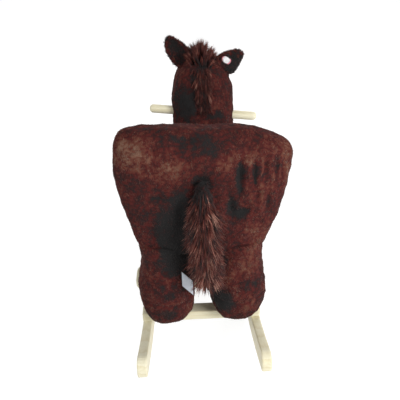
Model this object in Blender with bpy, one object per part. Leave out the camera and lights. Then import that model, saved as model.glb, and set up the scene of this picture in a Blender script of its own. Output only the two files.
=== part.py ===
"""Plush rocking horse with a chair-like body on a wooden base.

The horse looks along +Y, +Z is up, and the origin is on the floor under the middle of the base.
Sizes are in metres. GAP is the play kept between pieces that touch.
"""

import math

import bmesh
import bpy
from mathutils import Vector

GAP = 0.0003
# How far a cutter runs past the face that it opens
CUT_PAST = 0.010
# A grown cutter swells along its corners' normals, so it needs a little more than the gap
ROOM_SWELL = 1.15

# Base: two runners cut from board, with two cross bars and a footrest on top of them
BASE_WIDTH = 0.243
ROCKER_RADIUS = 0.942
ROCKER_HALF_LENGTH = 0.358
ROCKER_HEIGHT = 0.039
ROCKER_THICKNESS = 0.0185
# An odd number, so that one facet is in the middle
ROCKER_FACETS = 17
ROCKER_TIP_RADIUS = 0.018
ROCKER_TIP_STEPS = 6
ROCKER_EDGE = 0.0025
PAD_MARGIN = 0.002
PAD_RAMP = 0.010

BAR_Y = 0.192
BAR_WIDTH = 0.028
BAR_THICKNESS = 0.022
BAR_EDGE = 0.003

FOOTREST_Y = -0.040
FOOTREST_WIDTH = 0.080
FOOTREST_LENGTH = 0.295
FOOTREST_THICKNESS = 0.016
FOOTREST_CORNER = 0.022

# Wooden frame inside the plush
SEAT_BOARD_BOTTOM = 0.258
SEAT_BOARD_THICKNESS = 0.014
SEAT_BOARD_WIDTH = 0.190
SEAT_BOARD_FRONT = 0.212
SEAT_BOARD_CORNER = 0.006
SEAT_BOARD_OVERHANG = 0.002
POST_X = 0.071
POST_SIZE = 0.024
POST_CORNER = 0.003
BACKREST_BOARD_THICKNESS = 0.012
BACKREST_BOARD_FOOT_WIDTH = 0.190
BACKREST_BOARD_TOP_WIDTH = 0.244
BACKREST_BOARD_TOP = 0.452
BACKREST_BOARD_CORNER = 0.030
NECK_BOARD_DEPTH = 0.070
NECK_BOARD_THICKNESS = 0.018
NECK_BOARD_HEIGHT = 0.175
NECK_BOARD_CORNER = 0.016
# The board starts this far below the seat board's top, which trims its foot to the lean
NECK_BOARD_SINK = 0.008

# The neck stands a little off the middle and leans, which its board, handle and head follow
NECK_X = 0.013
HEAD_X = 0.015
NECK_Y = 0.120
NECK_LEAN = math.radians(5.5)
HEAD_LEAN = math.radians(3.0)
NECK_TURN = math.radians(-4.0)

HANDLE_RADIUS = 0.0095
HANDLE_LENGTH = 0.247
HANDLE_HEIGHT = 0.125
HANDLE_END = 0.005

# Fasteners: shank radius, head radius, head height, length
BAR_SCREW = (0.0021, 0.0045, 0.0030, 0.045)
FOOTREST_SCREW = (0.0021, 0.0045, 0.0030, 0.036)
LEG_BOLT = (0.0030, 0.0060, 0.0036, 0.060)
SEAT_SCREW = (0.0021, 0.0045, 0.0030, 0.045)
BACKREST_SCREW = (0.0019, 0.0040, 0.0026, 0.038)
NECK_SCREW = (0.0021, 0.0045, 0.0030, 0.045)
HANDLE_SCREW = (0.0019, 0.0040, 0.0026, 0.038)
SCREW_SIDES = 10
BAR_SCREW_BITE = 0.016
FOOTREST_SCREW_BITE = 0.012
BACKREST_SCREW_SPACING = 0.065
BACKREST_SCREW_SINK = 0.0005
NECK_SCREW_SPACING = 0.040

# Plush backrest and rump
BACK_BOTTOM_WIDTH = 0.236
BACK_MID_WIDTH = 0.292
BACK_MID_Z = 0.355
BACK_TOP_WIDTH = 0.330
BACK_TOP = 0.483
BACK_CORNER = 0.056
BACK_FOOT_RADIUS = 0.028
BACK_HIP_RADIUS = 0.120
BACK_CORNER_STEPS = 5
BACK_REAR = -0.240
BACK_FRONT = -0.150
BACK_ROUNDING = 0.024
BACK_FOAM_FRONT = -0.160
BACK_FOAM_WIDTH = 0.200
BACK_FOAM_TOP = 0.440
BACK_FOAM_CORNER = 0.012

# Plush legs, the same at each corner. Their stuffing sits a little to the right of the posts.
LEG_SHIFT = 0.004
LEG_HALF_WIDTH = 0.0575
LEG_HALF_DEPTH = 0.062
LEG_SIDES = 20
LEG_FULLNESS = 2.4

# Seat, belly and side wings
SEAT_COVER_TOP = 0.302
SEAT_COVER_WALL = 0.004
SEAT_EDGE = 0.012
BELLY_WIDTH = 0.240
BELLY_BOTTOM = 0.230
BELLY_EDGE = 0.010
WING_THICKNESS = 0.034
WING_REAR_TOP = 0.392
WING_MID_TOP = 0.334
WING_FRONT_TOP = 0.322
WING_EDGE = 0.011
WING_DIP_RADIUS = 0.080
WING_CORNER = 0.012
WING_DIP_AHEAD = 0.020
SEAM_RADIUS = 0.004

# Chest, head and what is sewn to them
CHEST_REAR = 0.075
CHEST_FRONT = 0.234
CHEST_TOP = 0.345
CHEST_WIDTH = 0.236
CHEST_EDGE = 0.020
CHEST_CORNER = 0.040
CHEST_REAR_CORNER = 0.010
HEAD_SIDES = 24
HEAD_FULLNESS = 2.2
HEAD_HALF_WIDTH = 0.072
HEAD_HALF_DEPTH = 0.064
HEAD_TOP = 0.246
# The neck starts this far below the chest's top, which trims its foot
HEAD_SINK = 0.010
NECK_LENGTH = 0.055
MUZZLE_TIP = 0.195
MUZZLE_HALF_WIDTH = 0.047
MUZZLE_HALF_HEIGHT = 0.045
MUZZLE_SIDES = 18
MANE_WIDTH = 0.044
MANE_THICKNESS = 0.013
MANE_CROWN = 0.026
MANE_EDGE = 0.005
EYE_RADIUS = 0.0095
EYE_X = 0.051
EYE_Y = 0.063
EYE_HEIGHT = 0.195
EYE_SIDES = 16

# Ears: base point beside the head's middle, length, width, and angle from upright
EAR_LEFT_X = 0.0395
EAR_RIGHT_X = 0.0345
EAR_Y = 0.018
EAR_HEIGHT = 0.230
EAR_THICKNESS = 0.018
EAR_EDGE = 0.006
EAR_WIDTH = 0.053
# How far each ear starts before its base point, inside the head, which trims it
EAR_LEFT_ROOT = 0.010
EAR_RIGHT_ROOT = 0.003
EAR_BASE_SHARE = 0.62
EAR_WIDEST_AT = 0.4
EAR_STEPS = 10
EAR_LEFT_LENGTH = 0.073
EAR_RIGHT_LENGTH = 0.064
EAR_LEFT_ANGLE = math.radians(-31.0)
EAR_RIGHT_ANGLE = math.radians(66.0)

# Press-to-play unit in the right ear
BUTTON_ALONG = 0.0210
BUTTON_ACROSS = -0.0060
BUTTON_RADIUS = 0.0078
BUTTON_THICKNESS = 0.0036
BUTTON_PROUD = 0.0016
BUTTON_FLANGE = 0.0012
BUTTON_EDGE = 0.0006
HOUSING_RADIUS = 0.0102
HOUSING_DEPTH = 0.0100
HOUSING_WALL = 0.0012
HOUSING_INSET = 0.0004
BOARD_CLEARANCE = 0.0006
SOUND_BOARD_THICKNESS = 0.0016
RIM_RADIUS = 0.0112
RIM_THICKNESS = 0.0010
RIM_EDGE = 0.0005
ROUND_SIDES = 24

# Tail, hinged at its sewn root, and care label
TAIL_X = 0.011
TAIL_TOP = 0.405
TAIL_LENGTH = 0.230
TAIL_HALF_WIDTH = 0.032
TAIL_HALF_DEPTH = 0.019
TAIL_SLOPE = 0.008
TAIL_SIDES = 16
TAG_X = -0.025
TAG_TOP = 0.214
TAG_WIDTH = 0.020
TAG_HEIGHT = 0.033
TAG_SKEW = 0.023
TAG_THICKNESS = 0.0012

# Worked out from the values above
BAR_OUTER_Y = BAR_Y + BAR_WIDTH / 2
POST_TOP = SEAT_BOARD_BOTTOM - GAP
SEAT_BOARD_TOP = SEAT_BOARD_BOTTOM + SEAT_BOARD_THICKNESS
SEAT_BOARD_REAR = -(BAR_Y + POST_SIZE / 2 + SEAT_BOARD_OVERHANG)
BACKREST_BOARD_FRONT = SEAT_BOARD_REAR - GAP
BACKREST_BOARD_REAR = BACKREST_BOARD_FRONT - BACKREST_BOARD_THICKNESS
WING_INNER_X = SEAT_BOARD_WIDTH / 2 + GAP


def arc_rise(y):
    return ROCKER_RADIUS - math.sqrt(ROCKER_RADIUS**2 - y**2)


def arc_bottom(y):
    """Height of a runner's underside, whose middle facet lies flat on the floor."""
    return arc_rise(y) - arc_rise(ROCKER_HALF_LENGTH / ROCKER_FACETS)


def arc_top(y):
    """Height of a runner's top, away from its pads."""
    return arc_bottom(y) + ROCKER_HEIGHT


BAR_BOTTOM = arc_top(BAR_OUTER_Y) + GAP
BAR_TOP = BAR_BOTTOM + BAR_THICKNESS
FOOTREST_OUTER_Y = abs(FOOTREST_Y) + FOOTREST_WIDTH / 2
FOOTREST_BOTTOM = arc_top(FOOTREST_OUTER_Y) + GAP
LEG_BOTTOM = BAR_TOP + GAP
RUNNER_X = (BASE_WIDTH - ROCKER_THICKNESS) / 2


def clear_scene():
    for item in list(bpy.data.objects):
        bpy.data.objects.remove(item, do_unlink=True)


def make_material(name, color, roughness, metallic=0.0):
    made = bpy.data.materials.new(name)
    made.use_nodes = True
    shader = made.node_tree.nodes["Principled BSDF"]
    shader.inputs["Base Color"].default_value = (*color, 1.0)
    shader.inputs["Roughness"].default_value = roughness
    shader.inputs["Metallic"].default_value = metallic
    return made


def add_object(name, mesh, material, location=(0, 0, 0), rotation=(0, 0, 0), parent=None):
    made = bpy.data.objects.new(name, mesh)
    made.location = location
    made.rotation_euler = rotation
    made.parent = parent
    mesh.materials.append(material)
    bpy.context.scene.collection.objects.link(made)
    return made


def add_frame(name, location, rotation=(0, 0, 0), parent=None):
    """An empty that carries pieces at a joint, or along a leaning axis."""
    frame = bpy.data.objects.new(name, None)
    frame.location = location
    frame.rotation_euler = rotation
    frame.parent = parent
    bpy.context.scene.collection.objects.link(frame)
    return frame


def finish_mesh(name, work, smooth=True):
    bmesh.ops.recalc_face_normals(work, faces=work.faces)
    mesh = bpy.data.meshes.new(name)
    work.to_mesh(mesh)
    work.free()
    if smooth:
        mesh.shade_smooth()
        mesh.set_sharp_from_angle(angle=math.radians(40))
    return mesh


def place_on(axis, u, v, w):
    """A point with u and v across the axis and w along it."""
    if axis == "X":
        return Vector((w, u, v))
    if axis == "Y":
        return Vector((u, w, v))
    return Vector((u, v, w))


def slab_mesh(name, outline, axis, near, far):
    """A flat outline pushed along an axis: (y, z) for X, (x, z) for Y, (x, y) for Z."""
    work = bmesh.new()
    ring = [work.verts.new(place_on(axis, u, v, near)) for u, v in outline]
    face = work.faces.new(ring)
    pushed = bmesh.ops.extrude_face_region(work, geom=[face])
    moved = [item for item in pushed["geom"] if isinstance(item, bmesh.types.BMVert)]
    bmesh.ops.translate(work, verts=moved, vec=place_on(axis, 0, 0, far - near))
    return finish_mesh(name, work)


def loft_mesh(name, stations, axis, sides, fullness):
    """Skin over rounded sections (along, centre u, centre v, half u, half v) with flat ends."""
    work = bmesh.new()
    rings = []
    for along, centre_u, centre_v, half_u, half_v in stations:
        ring = []
        for step in range(sides):
            angle = 2 * math.pi * step / sides
            c, s = math.cos(angle), math.sin(angle)
            u = centre_u + half_u * math.copysign(abs(c) ** (2 / fullness), c)
            v = centre_v + half_v * math.copysign(abs(s) ** (2 / fullness), s)
            ring.append(work.verts.new(place_on(axis, u, v, along)))
        rings.append(ring)
    for lower, upper in zip(rings, rings[1:]):
        for step in range(sides):
            after = (step + 1) % sides
            work.faces.new((lower[step], lower[after], upper[after], upper[step]))
    work.faces.new(rings[0])
    work.faces.new(rings[-1])
    return finish_mesh(name, work)


def turned_mesh(name, profile, sides):
    """A profile of (radius, height) turned round Z. A radius of 0 closes it to a point."""
    work = bmesh.new()
    rings = []
    for radius, height in profile:
        if radius == 0:
            rings.append([work.verts.new((0, 0, height))] * sides)
            continue
        angles = [2 * math.pi * step / sides for step in range(sides)]
        rings.append([work.verts.new((radius * math.cos(a), radius * math.sin(a), height)) for a in angles])
    for lower, upper in zip(rings, rings[1:]):
        for step in range(sides):
            after = (step + 1) % sides
            corners = [lower[step], lower[after], upper[after], upper[step]]
            work.faces.new(list(dict.fromkeys(corners)))
    for end in (rings[0], rings[-1]):
        if end[0] is not end[1]:
            work.faces.new(end)
    return finish_mesh(name, work)


def ball_profile(radius, steps=9):
    """Half a circle from the top of a ball to its bottom."""
    angles = [math.pi * step / steps for step in range(1, steps)]
    return [(0, radius)] + [(radius * math.sin(a), radius * math.cos(a)) for a in angles] + [(0, -radius)]


def rounded_outline(corners, steps=4):
    """A closed outline from (u, v, radius) corners, each turned by an arc of that radius."""
    points = []
    for index, (u, v, radius) in enumerate(corners):
        here = Vector((u, v))
        to_last = (Vector(corners[index - 1][:2]) - here).normalized()
        to_next = (Vector(corners[(index + 1) % len(corners)][:2]) - here).normalized()
        if radius == 0:
            points.append((u, v))
            continue
        half = to_last.angle(to_next) / 2
        centre = here + (to_last + to_next).normalized() * (radius / math.sin(half))
        first = here + to_last * (radius / math.tan(half)) - centre
        last = here + to_next * (radius / math.tan(half)) - centre
        turn = first.angle_signed(last)
        for step in range(steps + 1):
            angle = -turn * step / steps
            c, s = math.cos(angle), math.sin(angle)
            points.append((centre.x + first.x * c - first.y * s, centre.y + first.x * s + first.y * c))
    return points


def box_outline(half_u, low_v, high_v, radius=0.0, steps=3):
    corners = [(-half_u, low_v), (half_u, low_v), (half_u, high_v), (-half_u, high_v)]
    return rounded_outline([(u, v, radius) for u, v in corners], steps)


def soften(target, width, segments=2, angle=50):
    """Rounds the edges that turn by more than the angle."""
    bevel = target.modifiers.new("edges", "BEVEL")
    bevel.width = width
    bevel.segments = segments
    bevel.limit_method = "ANGLE"
    bevel.angle_limit = math.radians(angle)
    return target


def as_cutter(item):
    item.hide_render = True
    item.display_type = "WIRE"
    return item


def cut(target, *cutters):
    for cutter in cutters:
        hole = target.modifiers.new("cut by " + cutter.name, "BOOLEAN")
        hole.operation = "DIFFERENCE"
        hole.solver = "EXACT"
        hole.object = cutter


def grown(source, gap=GAP):
    """A cutter in the shape of a whole piece, larger by the gap all round."""
    cutter = as_cutter(bpy.data.objects.new(source.name + "_room", source.data))
    cutter.location = source.location
    cutter.rotation_euler = source.rotation_euler
    cutter.parent = source.parent
    bpy.context.scene.collection.objects.link(cutter)
    for modifier in source.modifiers:
        if modifier.type == "BEVEL":
            soften(cutter, modifier.width, modifier.segments, math.degrees(modifier.angle_limit))
    swell = cutter.modifiers.new("room", "DISPLACE")
    swell.mid_level = 0
    swell.strength = gap * ROOM_SWELL
    return cutter


def cutting_box(name, low, high, parent=None):
    outline = [(low[0], low[1]), (high[0], low[1]), (high[0], high[1]), (low[0], high[1])]
    mesh = slab_mesh(name, outline, "Z", low[2], high[2])
    return as_cutter(add_object(name, mesh, WOOD, parent=parent))


def aim(direction):
    """Rotation that points local -Z, the way a screw is driven, along the direction."""
    return Vector(direction).to_track_quat("-Z", "Y").to_euler()


def screw(name, kind, head_at, direction, pieces, parent=None, sink=0.0):
    """A countersunk screw from head_at along the direction, and its hole in each piece.

    The sink is how far the head lies below the surface that it is driven into.
    """
    shank, head, head_height, length = kind
    profile = [
        (0, -length),
        (shank, -length + 2 * shank),
        (shank, -head_height),
        (head, 0),
        (0, 0),
    ]
    hole = [
        (0, -length - 3 * GAP),
        (shank + GAP, -length + 2 * shank - GAP),
        (shank + GAP, -head_height - GAP),
        (head + GAP, 0),
        (head + GAP, sink + 2 * GAP),
        (0, sink + 2 * GAP),
    ]
    rotation = aim(direction)
    made = add_object(name, turned_mesh(name, profile, SCREW_SIDES), STEEL, head_at, rotation, parent)
    room = turned_mesh(name + "_hole", hole, SCREW_SIDES)
    cutter = as_cutter(add_object(name + "_hole", room, STEEL, head_at, rotation, parent))
    for piece in pieces:
        cut(piece, cutter)
    return made


def rocker_outline():
    """Side view of a runner: two equal arcs one above the other, rounded tips, flat pads on top."""
    half = ROCKER_HALF_LENGTH
    stops = [half * (2 * step / ROCKER_FACETS - 1) for step in range(ROCKER_FACETS + 1)]
    lower = [(y, arc_bottom(y)) for y in stops]

    tip_start = (half - ROCKER_TIP_RADIUS) / (1 + ROCKER_TIP_RADIUS / ROCKER_RADIUS)
    slope = math.asin(tip_start / ROCKER_RADIUS)
    middle_y = tip_start + ROCKER_TIP_RADIUS * math.sin(slope)
    middle_z = arc_top(tip_start) - ROCKER_TIP_RADIUS * math.cos(slope)
    tip = []
    for step in range(ROCKER_TIP_STEPS + 1):
        angle = (math.pi / 2 + slope) * step / ROCKER_TIP_STEPS
        y = middle_y + ROCKER_TIP_RADIUS * math.cos(angle)
        tip.append((y, middle_z + ROCKER_TIP_RADIUS * math.sin(angle)))

    pads = [
        (-BAR_Y, BAR_WIDTH / 2 + PAD_MARGIN, BAR_BOTTOM),
        (FOOTREST_Y, FOOTREST_WIDTH / 2 + PAD_MARGIN, FOOTREST_BOTTOM),
        (BAR_Y, BAR_WIDTH / 2 + PAD_MARGIN, BAR_BOTTOM),
    ]
    upper = []
    for middle, reach, seat in pads:
        for side in (-1, 1):
            edge = middle + side * reach
            ramp = edge + side * PAD_RAMP
            upper.append((edge, seat - GAP))
            if abs(ramp) < BAR_OUTER_Y:
                upper.append((ramp, arc_top(ramp)))
    for y in stops:
        off_pads = all(abs(y - middle) > reach + 1.5 * PAD_RAMP for middle, reach, seat in pads)
        if off_pads and abs(y) < tip_start - PAD_RAMP:
            upper.append((y, arc_top(y)))
    return lower + tip + sorted(upper, reverse=True) + [(-y, z) for y, z in reversed(tip)]


def build_base():
    """Runners, cross bars, footrest and the screws that join them from below."""
    made = {}
    for side, name in ((-1, "left"), (1, "right")):
        x = side * RUNNER_X
        near, far = x - ROCKER_THICKNESS / 2, x + ROCKER_THICKNESS / 2
        mesh = slab_mesh("rocker_" + name, rocker_outline(), "X", near, far)
        made[name] = add_object("rocker_" + name, mesh, WOOD)
        soften(made[name], ROCKER_EDGE, 2, 60)
    for side, name in ((-1, "rear"), (1, "front")):
        outline = [(BASE_WIDTH / 2 * u, BAR_WIDTH / 2 * v) for u, v in ((-1, -1), (1, -1), (1, 1), (-1, 1))]
        mesh = slab_mesh(name + "_cross_bar", outline, "Z", BAR_BOTTOM, BAR_TOP)
        made[name] = add_object(name + "_cross_bar", mesh, WOOD, (0, side * BAR_Y, 0))
        soften(made[name], BAR_EDGE, 2)
    half_width = FOOTREST_WIDTH / 2
    outline = box_outline(FOOTREST_LENGTH / 2, -half_width, half_width, FOOTREST_CORNER, 4)
    mesh = slab_mesh("footrest", outline, "Z", FOOTREST_BOTTOM, FOOTREST_BOTTOM + FOOTREST_THICKNESS)
    made["footrest"] = add_object("footrest", mesh, WOOD, (0, FOOTREST_Y, 0))
    soften(made["footrest"], BAR_EDGE, 2)
    for side, side_name in ((-1, "left"), (1, "right")):
        x = side * RUNNER_X
        for end, end_name in ((-1, "rear"), (1, "front")):
            head_z = BAR_BOTTOM + BAR_SCREW_BITE - BAR_SCREW[3]
            screw(
                f"bar_screw_{end_name}_{side_name}",
                BAR_SCREW,
                (x, end * BAR_Y, head_z),
                (0, 0, 1),
                (made[side_name], made[end_name]),
                sink=head_z,
            )
        head_z = FOOTREST_BOTTOM + FOOTREST_SCREW_BITE - FOOTREST_SCREW[3]
        screw(
            f"footrest_screw_{side_name}",
            FOOTREST_SCREW,
            (x, FOOTREST_Y, head_z),
            (0, 0, 1),
            (made[side_name], made["footrest"]),
            sink=head_z,
        )
    return made


def each_corner():
    """End and side as -1 or 1, the corner's name and its end's name."""
    for end, end_name in ((-1, "rear"), (1, "front")):
        for side, side_name in ((-1, "left"), (1, "right")):
            yield end, side, f"{end_name}_{side_name}", end_name


def backrest_board_outline(gap=0.0, past=0.0):
    """The board's outline, or that of the room for it: wider by the gap and open at the foot."""
    foot, top = BACKREST_BOARD_FOOT_WIDTH / 2 + gap, BACKREST_BOARD_TOP_WIDTH / 2 + gap
    low, high = SEAT_BOARD_BOTTOM - past, BACKREST_BOARD_TOP + gap
    radius = BACKREST_BOARD_CORNER
    return rounded_outline([(-foot, low, 0), (foot, low, 0), (top, high, radius), (-top, high, radius)])


def build_frame(base):
    """Posts, seat board, backrest board, and their screws."""
    made = {}
    depth_middle = (SEAT_BOARD_FRONT + SEAT_BOARD_REAR) / 2
    half_depth = (SEAT_BOARD_FRONT - SEAT_BOARD_REAR) / 2
    outline = box_outline(SEAT_BOARD_WIDTH / 2, -half_depth, half_depth, SEAT_BOARD_CORNER, 2)
    mesh = slab_mesh("seat_board", outline, "Z", SEAT_BOARD_BOTTOM, SEAT_BOARD_TOP)
    made["seat_board"] = add_object("seat_board", mesh, PLYWOOD, (0, depth_middle, 0))
    for end, side, name, end_name in each_corner():
        outline = box_outline(POST_SIZE / 2, -POST_SIZE / 2, POST_SIZE / 2, POST_CORNER, 2)
        mesh = slab_mesh("leg_post_" + name, outline, "Z", LEG_BOTTOM, POST_TOP)
        post = add_object("leg_post_" + name, mesh, WOOD, (side * POST_X, end * BAR_Y, 0))
        made["post_" + name] = post
        at = (side * POST_X, end * BAR_Y)
        screw("leg_bolt_" + name, LEG_BOLT, (*at, BAR_BOTTOM), (0, 0, 1), (base[end_name], post))
        head_at = (*at, SEAT_BOARD_TOP)
        screw("seat_screw_" + name, SEAT_SCREW, head_at, (0, 0, -1), (made["seat_board"], post))
    outline = backrest_board_outline()
    mesh = slab_mesh("backrest_board", outline, "Y", BACKREST_BOARD_REAR, BACKREST_BOARD_FRONT)
    made["backrest_board"] = add_object("backrest_board", mesh, PLYWOOD)
    screw_z = SEAT_BOARD_BOTTOM + SEAT_BOARD_THICKNESS / 2
    for index, name in enumerate(("left", "middle", "right")):
        head_at = ((index - 1) * BACKREST_SCREW_SPACING, BACKREST_BOARD_REAR + BACKREST_SCREW_SINK, screw_z)
        screw(
            "backrest_screw_" + name,
            BACKREST_SCREW,
            head_at,
            (0, 1, 0),
            (made["backrest_board"], made["seat_board"]),
            sink=BACKREST_SCREW_SINK,
        )
    return made


def build_neck(frame):
    """The leaning neck board, edge to the front, the handle through it and the screw that holds that."""
    leaning = add_frame("neck_frame", (NECK_X, NECK_Y, SEAT_BOARD_TOP), (0, NECK_LEAN, NECK_TURN))
    outline = rounded_outline(
        [
            (-NECK_BOARD_DEPTH / 2, -NECK_BOARD_SINK, 0),
            (NECK_BOARD_DEPTH / 2, -NECK_BOARD_SINK, 0),
            (NECK_BOARD_DEPTH / 2, NECK_BOARD_HEIGHT, NECK_BOARD_CORNER),
            (-NECK_BOARD_DEPTH / 2, NECK_BOARD_HEIGHT, NECK_BOARD_CORNER),
        ]
    )
    half = NECK_BOARD_THICKNESS / 2
    mesh = slab_mesh("neck_board", outline, "X", -half, half)
    board = add_object("neck_board", mesh, PLYWOOD, parent=leaning)
    cut(board, grown(frame["seat_board"]))
    half_length = HANDLE_LENGTH / 2
    profile = [(0, -half_length)]
    for degrees in (0, 30, 60, 90):
        inward = HANDLE_END * (1 - math.sin(math.radians(degrees)))
        along = HANDLE_END * (1 - math.cos(math.radians(degrees)))
        profile.append((HANDLE_RADIUS - inward, along - half_length))
    profile += [(radius, -height) for radius, height in reversed(profile)]
    mesh = turned_mesh("handle_dowel", profile, ROUND_SIDES)
    across = (0, math.radians(90), 0)
    handle = add_object("handle_dowel", mesh, WOOD, (0, 0, HANDLE_HEIGHT), across, leaning)
    cut(board, grown(handle))
    head_at = (0, -NECK_BOARD_DEPTH / 2, HANDLE_HEIGHT)
    screw("handle_screw", HANDLE_SCREW, head_at, (0, 1, 0), (board, handle), leaning)
    for side, name in ((-1, "rear"), (1, "front")):
        head_at = (NECK_X, NECK_Y + side * NECK_SCREW_SPACING / 2, SEAT_BOARD_BOTTOM)
        screw("neck_screw_" + name, NECK_SCREW, head_at, (0, 0, 1), (frame["seat_board"], board))
    return leaning, handle


# Height share up a leg, and its share of the full width and depth: full at the foot, drawn in above it
LEG_SHAPE = [
    (0.00, 0.74),
    (0.03, 0.91),
    (0.11, 1.00),
    (0.24, 0.98),
    (0.34, 0.92),
    (0.62, 0.89),
    (0.88, 0.88),
    (1.00, 0.84),
]


def leg_size_at(z):
    """The leg's share of its full width and depth at a height."""
    up = (z - LEG_BOTTOM) / (POST_TOP - LEG_BOTTOM)
    for (low, low_size), (high, high_size) in zip(LEG_SHAPE, LEG_SHAPE[1:]):
        if up <= high:
            return low_size + (high_size - low_size) * (up - low) / (high - low)
    return LEG_SHAPE[-1][1]


def build_legs():
    """A stuffed leg round each post."""
    half_post = POST_SIZE / 2 + GAP
    stations = [
        (z, LEG_SHIFT, 0, LEG_HALF_WIDTH * size, LEG_HALF_DEPTH * size)
        for z, size in ((LEG_BOTTOM + up * (POST_TOP - LEG_BOTTOM), size) for up, size in LEG_SHAPE)
    ]
    for end, side, name, end_name in each_corner():
        x, y = side * POST_X, end * BAR_Y
        mesh = loft_mesh("leg_" + name, stations, "Z", LEG_SIDES, LEG_FULLNESS)
        leg = add_object("leg_" + name, mesh, PLUSH, (x, y, 0))
        low = (x - half_post, y - half_post, LEG_BOTTOM - CUT_PAST)
        high = (x + half_post, y + half_post, POST_TOP + CUT_PAST)
        cut(leg, cutting_box("post_room_" + name, low, high))


def build_back():
    """The high plush back, hollow from below for its board, its foam and the seat board's edge."""
    back_corners = [
        (-BACK_BOTTOM_WIDTH / 2, SEAT_BOARD_BOTTOM, BACK_FOOT_RADIUS),
        (BACK_BOTTOM_WIDTH / 2, SEAT_BOARD_BOTTOM, BACK_FOOT_RADIUS),
        (BACK_MID_WIDTH / 2, BACK_MID_Z, BACK_HIP_RADIUS),
        (BACK_TOP_WIDTH / 2, BACK_TOP, BACK_CORNER),
        (-BACK_TOP_WIDTH / 2, BACK_TOP, BACK_CORNER),
        (-BACK_MID_WIDTH / 2, BACK_MID_Z, BACK_HIP_RADIUS),
    ]
    outline = rounded_outline(back_corners, BACK_CORNER_STEPS)
    mesh = slab_mesh("back_cover", outline, "Y", BACK_REAR, BACK_FRONT)
    cover = soften(add_object("back_cover", mesh, PLUSH), BACK_ROUNDING, 3, 60)
    foam_bottom = SEAT_BOARD_TOP + 2 * GAP
    outline = box_outline(BACK_FOAM_WIDTH / 2, foam_bottom, BACK_FOAM_TOP, BACK_FOAM_CORNER)
    mesh = slab_mesh("back_foam", outline, "Y", BACKREST_BOARD_FRONT + GAP, BACK_FOAM_FRONT)
    add_object("back_foam", mesh, FOAM)

    half_board = SEAT_BOARD_WIDTH / 2 + GAP
    board_low = (-half_board, BACKREST_BOARD_FRONT, SEAT_BOARD_BOTTOM - CUT_PAST)
    board_high = (half_board, BACK_FRONT + CUT_PAST, SEAT_BOARD_TOP + GAP)
    half_foam = BACK_FOAM_WIDTH / 2 + GAP
    foam_low = (-half_foam, BACKREST_BOARD_FRONT, SEAT_BOARD_BOTTOM + SEAT_BOARD_THICKNESS / 2)
    foam_high = (half_foam, BACK_FOAM_FRONT + GAP, BACK_FOAM_TOP + GAP)
    outline = backrest_board_outline(GAP, CUT_PAST)
    rear, front = BACKREST_BOARD_REAR - GAP, BACKREST_BOARD_FRONT + GAP
    mesh = slab_mesh("backrest_board_room", outline, "Y", rear, front)
    cut(
        cover,
        cutting_box("seat_board_rear_room", board_low, board_high),
        cutting_box("foam_room", foam_low, foam_high),
        as_cutter(add_object("backrest_board_room", mesh, WOOD)),
    )


def build_seat():
    """Foam pad under a cover that is open below, the belly pad, and the side wings."""
    rear, front = BACK_FRONT + GAP, CHEST_REAR - GAP
    middle, half_depth = (rear + front) / 2, (front - rear) / 2
    half_width = SEAT_BOARD_WIDTH / 2
    bottom = SEAT_BOARD_TOP + GAP
    outline = box_outline(half_width, -half_depth, half_depth, SEAT_EDGE)
    mesh = slab_mesh("seat_cover", outline, "Z", bottom, SEAT_COVER_TOP)
    cover = add_object("seat_cover", mesh, PLUSH, (0, middle, 0))
    inset = SEAT_COVER_WALL
    inner = box_outline(half_width - inset, inset - half_depth, half_depth - inset, SEAT_EDGE / 2)
    mesh = slab_mesh("seat_cover_room", inner, "Z", bottom - CUT_PAST, SEAT_COVER_TOP - inset)
    cut(cover, as_cutter(add_object("seat_cover_room", mesh, WOOD, (0, middle, 0))))
    inset = SEAT_COVER_WALL + GAP
    inner = box_outline(half_width - inset, inset - half_depth, half_depth - inset, SEAT_EDGE / 2)
    mesh = slab_mesh("seat_foam", inner, "Z", bottom, SEAT_COVER_TOP - inset)
    add_object("seat_foam", mesh, FOAM, (0, middle, 0))

    half_belly = BAR_Y - LEG_HALF_DEPTH - GAP
    outline = box_outline(BELLY_WIDTH / 2, -half_belly, half_belly, BELLY_EDGE)
    mesh = slab_mesh("belly", outline, "Z", BELLY_BOTTOM, SEAT_BOARD_BOTTOM - GAP)
    soften(add_object("belly", mesh, PLUSH), BELLY_EDGE / 2, 2, 60)
    for side, name in ((-1, "left"), (1, "right")):
        outline = rounded_outline(
            [
                (rear, SEAT_BOARD_BOTTOM, SEAM_RADIUS),
                (front, SEAT_BOARD_BOTTOM, SEAM_RADIUS),
                (front, WING_FRONT_TOP, WING_CORNER),
                (middle + WING_DIP_AHEAD, WING_MID_TOP, WING_DIP_RADIUS),
                (rear, WING_REAR_TOP, SEAM_RADIUS),
            ]
        )
        inner_x, outer_x = side * WING_INNER_X, side * (WING_INNER_X + WING_THICKNESS)
        mesh = slab_mesh("wing_" + name, outline, "X", min(inner_x, outer_x), max(inner_x, outer_x))
        soften(add_object("wing_" + name, mesh, PLUSH), WING_EDGE, 2, 60)


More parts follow.
